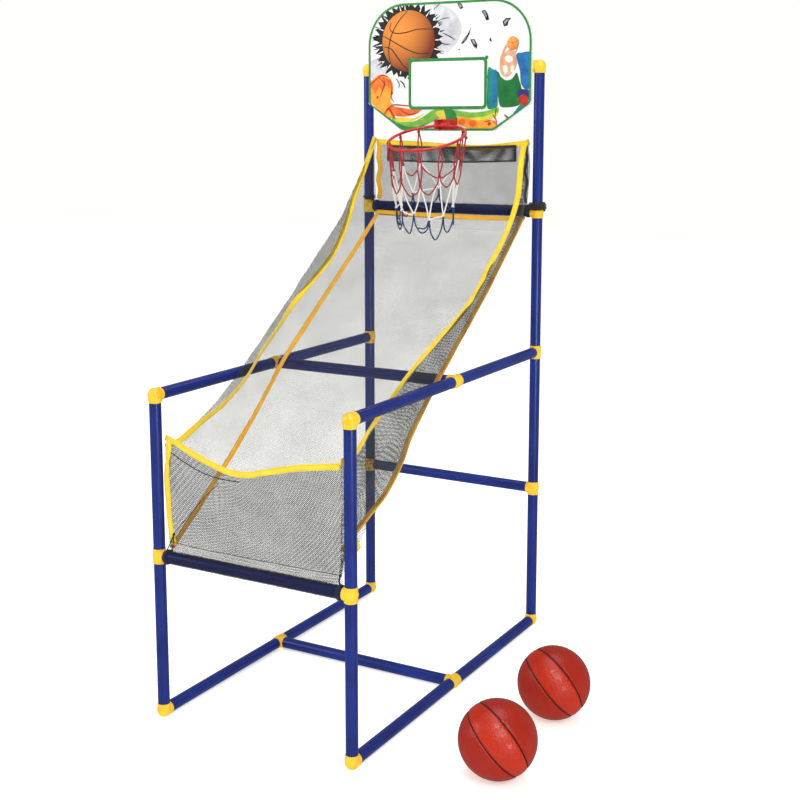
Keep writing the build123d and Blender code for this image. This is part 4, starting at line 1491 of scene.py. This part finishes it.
# chips and streaks thrown off to the right
ink("chips", [
    jagged([(26, 1594), (38, 1590), (44, 1580), (36, 1576), (30, 1584)]),
    jagged([(94, 1570), (104, 1572), (112, 1562), (116, 1548), (108, 1546), (102, 1558)]),
    jagged([(152, 1542), (162, 1550), (176, 1550), (168, 1542), (166, 1532), (156, 1530)]),
    jagged([(116, 1498), (120, 1506), (124, 1494)]),
    jagged([(64, 1502), (76, 1502), (84, 1488), (82, 1478), (72, 1486)]),
    jagged([(38, 1492), (48, 1506), (60, 1520), (66, 1534), (62, 1516), (54, 1502), (44, 1492)]),
    jagged([(30, 1478), (34, 1480), (36, 1476)]),
], 4, BLACK)
ink("chips_light", [
    jagged([(30, 1592), (37, 1588), (40, 1581), (35, 1580), (32, 1585)]),
    jagged([(98, 1568), (104, 1569), (110, 1558), (107, 1553)]),
    jagged([(156, 1541), (164, 1547), (170, 1547), (163, 1540), (159, 1534)]),
    jagged([(68, 1500), (75, 1500), (80, 1489), (75, 1489)]),
    jagged([(44, 1498), (54, 1510), (60, 1522), (55, 1510), (49, 1500)]),
], 5, MID_GREY)
ink("streaks", [
    brush([(-14, 1520), (4, 1512), (22, 1502)], 2.6, 0.1),
    brush([(-20, 1496), (-6, 1492), (8, 1492)], 2.2, 0.1),
    brush([(-24, 1552), (-8, 1556), (6, 1556)], 2.0, 0.1),
    brush([(-40, 1578), (-28, 1588), (-22, 1593)], 2.0, 0.1),
    brush([(-200, 1412), (-188, 1402), (-182, 1392)], 1.8, 0.2),
    brush([(-150, 1410), (-140, 1396), (-142, 1384)], 2.6, 0.2),
    brush([(-138, 1404), (-128, 1396), (-122, 1384)], 3.6, 0.2),
    brush([(-146, 1424), (-134, 1416), (-120, 1418)], 5.0, 0.2),
], 4, BLACK)

# the printed ball and its seams
ink("ball", [disc(BALL_U, BALL_Z, BALL_IN, 72)], 5, BALL_INK)


def on_ball(points, width):
    return brush([(BALL_U + BALL_IN * a, BALL_Z + BALL_IN * b) for a, b in points], width, 0.45)


ink("ball_seams", [
    on_ball([(-0.02, 0.99), (-0.36, 0.66), (-0.62, 0.26), (-0.74, -0.14), (-0.74, -0.46),
             (-0.66, -0.74)], 3.0),
    on_ball([(-0.66, 0.62), (-0.70, 0.40), (-0.50, 0.27), (-0.10, 0.28), (0.36, 0.37),
             (0.92, 0.36)], 2.8),
    on_ball([(-0.97, 0.20), (-0.62, 0.02), (-0.12, -0.24), (0.36, -0.41), (0.90, -0.42)], 2.8),
    on_ball([(-0.94, -0.16), (-0.66, -0.24), (-0.42, -0.52), (-0.20, -0.78), (0.02, -0.98)], 3.0),
], 6, paint("ink_seam", rgb(50, 22, 8), rgb(76, 36, 14)))
ink("small_ball", [disc(181, 1489, 16.5)], 5, SMALL_BALL_INK)
ink("small_ball_seams", [
    brush([(168, 1494), (178, 1490), (188, 1492), (195, 1497)], 1.3, 0.4),
    brush([(176, 1504), (179, 1492), (184, 1480), (190, 1475)], 1.3, 0.4),
], 6, RED)

# the white target and the green lines round it and round the board
TARGET_LOW, TARGET_HIGH = 1.330, 1.458
ink("target", [rounded_box(0.107, TARGET_LOW + 0.004, TARGET_HIGH - 0.004, 0.008)], 7, PALE)
ring_ink(
    "target_line", rounded_box(0.1115, TARGET_LOW, TARGET_HIGH, 0.012),
    rounded_box(0.1035, TARGET_LOW + 0.008, TARGET_HIGH - 0.008, 0.006), 8, GREEN,
)
ring_ink("board_line", board_line(0.0008), board_line(0.0062), 8, GREEN)
dress("board_screws", GREEN)

# ================================================================================================
# Balls
# ================================================================================================
SEAM_TILT = math.radians(13.8)         # the two seams bow apart at the front and back of the ball
SEAM_OUT = 0.132                       # and pass this share of the radius from its middle
SEAM_DEEP, SEAM_HALF = 0.0009, 0.0032  # depth and half width of the pressed-in seam
BALL_R = half_span("ball_1", 2)
BALL_FACING = (CAMERA_PLACE - middle("ball_1").lerp(middle("ball_2"), 0.5)).normalized()
BALL_RIGHT = Vector((0, 0, 1)).cross(BALL_FACING).normalized()
BALL_ACROSS = (0.635 * BALL_RIGHT - 0.773 * BALL_FACING.cross(BALL_RIGHT)).cross(BALL_FACING)


def seam_gap(across, facing):
    """Distance from a seam of a point given by its two reaches from the ball's middle."""
    bow = math.sqrt(facing * facing + (0.1 * BALL_R) ** 2)
    return abs(math.cos(SEAM_TILT) * abs(across) - math.sin(SEAM_TILT) * bow - SEAM_OUT * BALL_R)


def ball_rubber():
    """Moulded rubber: pebbles, two seams bowed apart, worn tone changes, painted shade on the
    panels beyond the seams and a glossy skin.
    """
    shader = Shader("ball_rubber", 0.3, Specular_IOR_Level=0.3, Coat_Weight=0.12,
                    Coat_Roughness=0.12)
    place = shader.node("TexCoord").outputs["Object"]
    reaches = [
        shader.node("VectorMath", place, tuple(axis), operation="DOT_PRODUCT").outputs["Value"]
        for axis in (BALL_ACROSS, BALL_FACING)
    ]
    across = shader.math("MULTIPLY", shader.math("ABSOLUTE", reaches[0]), math.cos(SEAM_TILT))
    bow = shader.math("MULTIPLY", reaches[1], reaches[1])
    bow = shader.math("SQRT", shader.math("ADD", bow, (0.1 * BALL_R) ** 2))
    away = shader.math("SUBTRACT", across, shader.math("MULTIPLY", bow, math.sin(SEAM_TILT)))
    gap = shader.math("ABSOLUTE", shader.math("SUBTRACT", away, SEAM_OUT * BALL_R))
    seam = shader.ramp(gap, 0.0010, 0.0016, 1.0, 0.0)
    cloud = shader.noise(place, 16.0, 3.0)
    # painted shade: the panels beyond the seams, towards the ball's rim as the camera sees it, take
    # the darker tone; the two tones are the ball's lit middle and its shaded rim
    panel = shader.ramp(away, SEAM_OUT * BALL_R - 0.004, SEAM_OUT * BALL_R + 0.004, 1.0, 0.45)
    skin = shader.mix(shader.math("MULTIPLY", shader.ramp(cloud, 0.25, 0.75, 0.55, 1.0), panel),
                      rgb(140, 20, 10), rgb(192, 44, 15))
    shader.colour(shader.mix(seam, skin, rgb(26, 10, 8)))
    pebbles = shader.node("TexVoronoi", place, None, 260.0).outputs["Distance"]
    height = shader.math("SUBTRACT", shader.ramp(pebbles, 0.1, 0.7, 0.5, 0.0),
                         shader.ramp(gap, 0.0, 0.0034, 2.4, 0.0))
    shader.bump(height, 0.0009)
    shader.rough(shader.ramp(seam, 0.0, 1.0, 0.3, 0.6))
    return shader.material


BALL_RUBBER = ball_rubber()


def ball_skin(name):
    """A ball with pressed-in seams, in coordinates about its own middle."""
    bm = bmesh.new()
    bmesh.ops.create_uvsphere(bm, u_segments=180, v_segments=90, radius=BALL_R)
    for vert in bm.verts:
        gap = seam_gap(vert.co.dot(BALL_ACROSS), vert.co.dot(BALL_FACING))
        vert.co *= 1 - SEAM_DEEP / BALL_R * max(0.0, 1 - (gap / SEAM_HALF) ** 2)
    mesh = bpy.data.meshes.new(f"{name}_skin")
    bm.to_mesh(mesh)
    bm.free()
    obj = linked(f"{name}_skin", mesh)
    obj.location = middle(name)
    mesh.materials.append(BALL_RUBBER)
    mesh.shade_smooth()
    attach(obj, name)
    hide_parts(name)


for name in ("ball_1", "ball_2"):
    ball_skin(name)


# ================================================================================================
# Floor and light
# ================================================================================================
PAPER_GLOW = 0.46                      # nearly hides where the floor ends; a faint line shows


def paper(name, tone):
    """Matt studio paper with a very faint tooth."""
    shader = Shader(name, 0.9, Specular_IOR_Level=0.1)
    tooth = shader.noise(shader.coordinates(), 220.0, 4.0)
    shader.colour(shader.mix(tooth, tone, rgb(255, 255, 253)))
    shader.bump(tooth, 0.0001)
    shader.put(shader.bsdf.inputs["Emission Color"], rgb(255, 255, 252))
    shader.put(shader.bsdf.inputs["Emission Strength"], PAPER_GLOW)
    return shader.material


bm = bmesh.new()
bmesh.ops.create_grid(bm, x_segments=4, y_segments=4, size=12.0)
mesh = bpy.data.meshes.new("floor")
bm.to_mesh(mesh)
bm.free()
floor = linked("floor", mesh)
floor.location = (MID_X, DEPTH / 2, -0.0004)
mesh.materials.append(paper("floor_paper", rgb(250, 250, 246)))
floor.visible_glossy = False


def soft_light(name, place, aim, size, power):
    light = bpy.data.lights.new(name, "AREA")
    light.shape = "RECTANGLE"
    light.size, light.size_y = size
    light.energy = power
    obj = linked(name, light)
    obj.location = place
    obj.rotation_euler = (Vector(aim) - Vector(place)).to_track_quat("-Z", "Y").to_euler()
    return obj


CENTRE = (MID_X, DEPTH / 2, 0.8)
soft_light("key_light", (3.2, -2.6, 3.4), CENTRE, (1.8, 1.8), 90)
soft_light("fill_light", (-3.4, -2.2, 2.4), CENTRE, (2.4, 2.4), 45)
soft_light("top_light", (0.3, 0.6, 4.2), CENTRE, (3.0, 3.0), 60)
for name, place in (("upper_spark", (1.20, -1.22, 2.64)), ("lower_spark", (3.24, -1.40, 0.28))):
    spark = soft_light(name, place, (0.756, 0.27, 0.08), (0.6, 0.6), 16)
    spark.visible_diffuse = False
world = bpy.data.worlds.new("studio")
bpy.context.scene.world = world
world.use_nodes = True
background = world.node_tree.nodes["Background"]
background.inputs["Color"].default_value = rgb(255, 255, 252)
# the studio is white to the eye, dimmer as light, and dark in reflections so that colours stay deep
rays = world.node_tree.nodes.new("ShaderNodeLightPath")
steps = []
for ray, gain, start in (("Is Camera Ray", 0.40, 0.60), ("Is Glossy Ray", -0.38, None)):
    step = world.node_tree.nodes.new("ShaderNodeMath")
    step.operation = "MULTIPLY_ADD"
    world.node_tree.links.new(rays.outputs[ray], step.inputs[0])
    step.inputs[1].default_value = gain
    if start is None:
        world.node_tree.links.new(steps[-1].outputs[0], step.inputs[2])
    else:
        step.inputs[2].default_value = start
    steps.append(step)
world.node_tree.links.new(steps[-1].outputs[0], background.inputs["Strength"])

bpy.context.scene.view_settings.view_transform = "Standard"
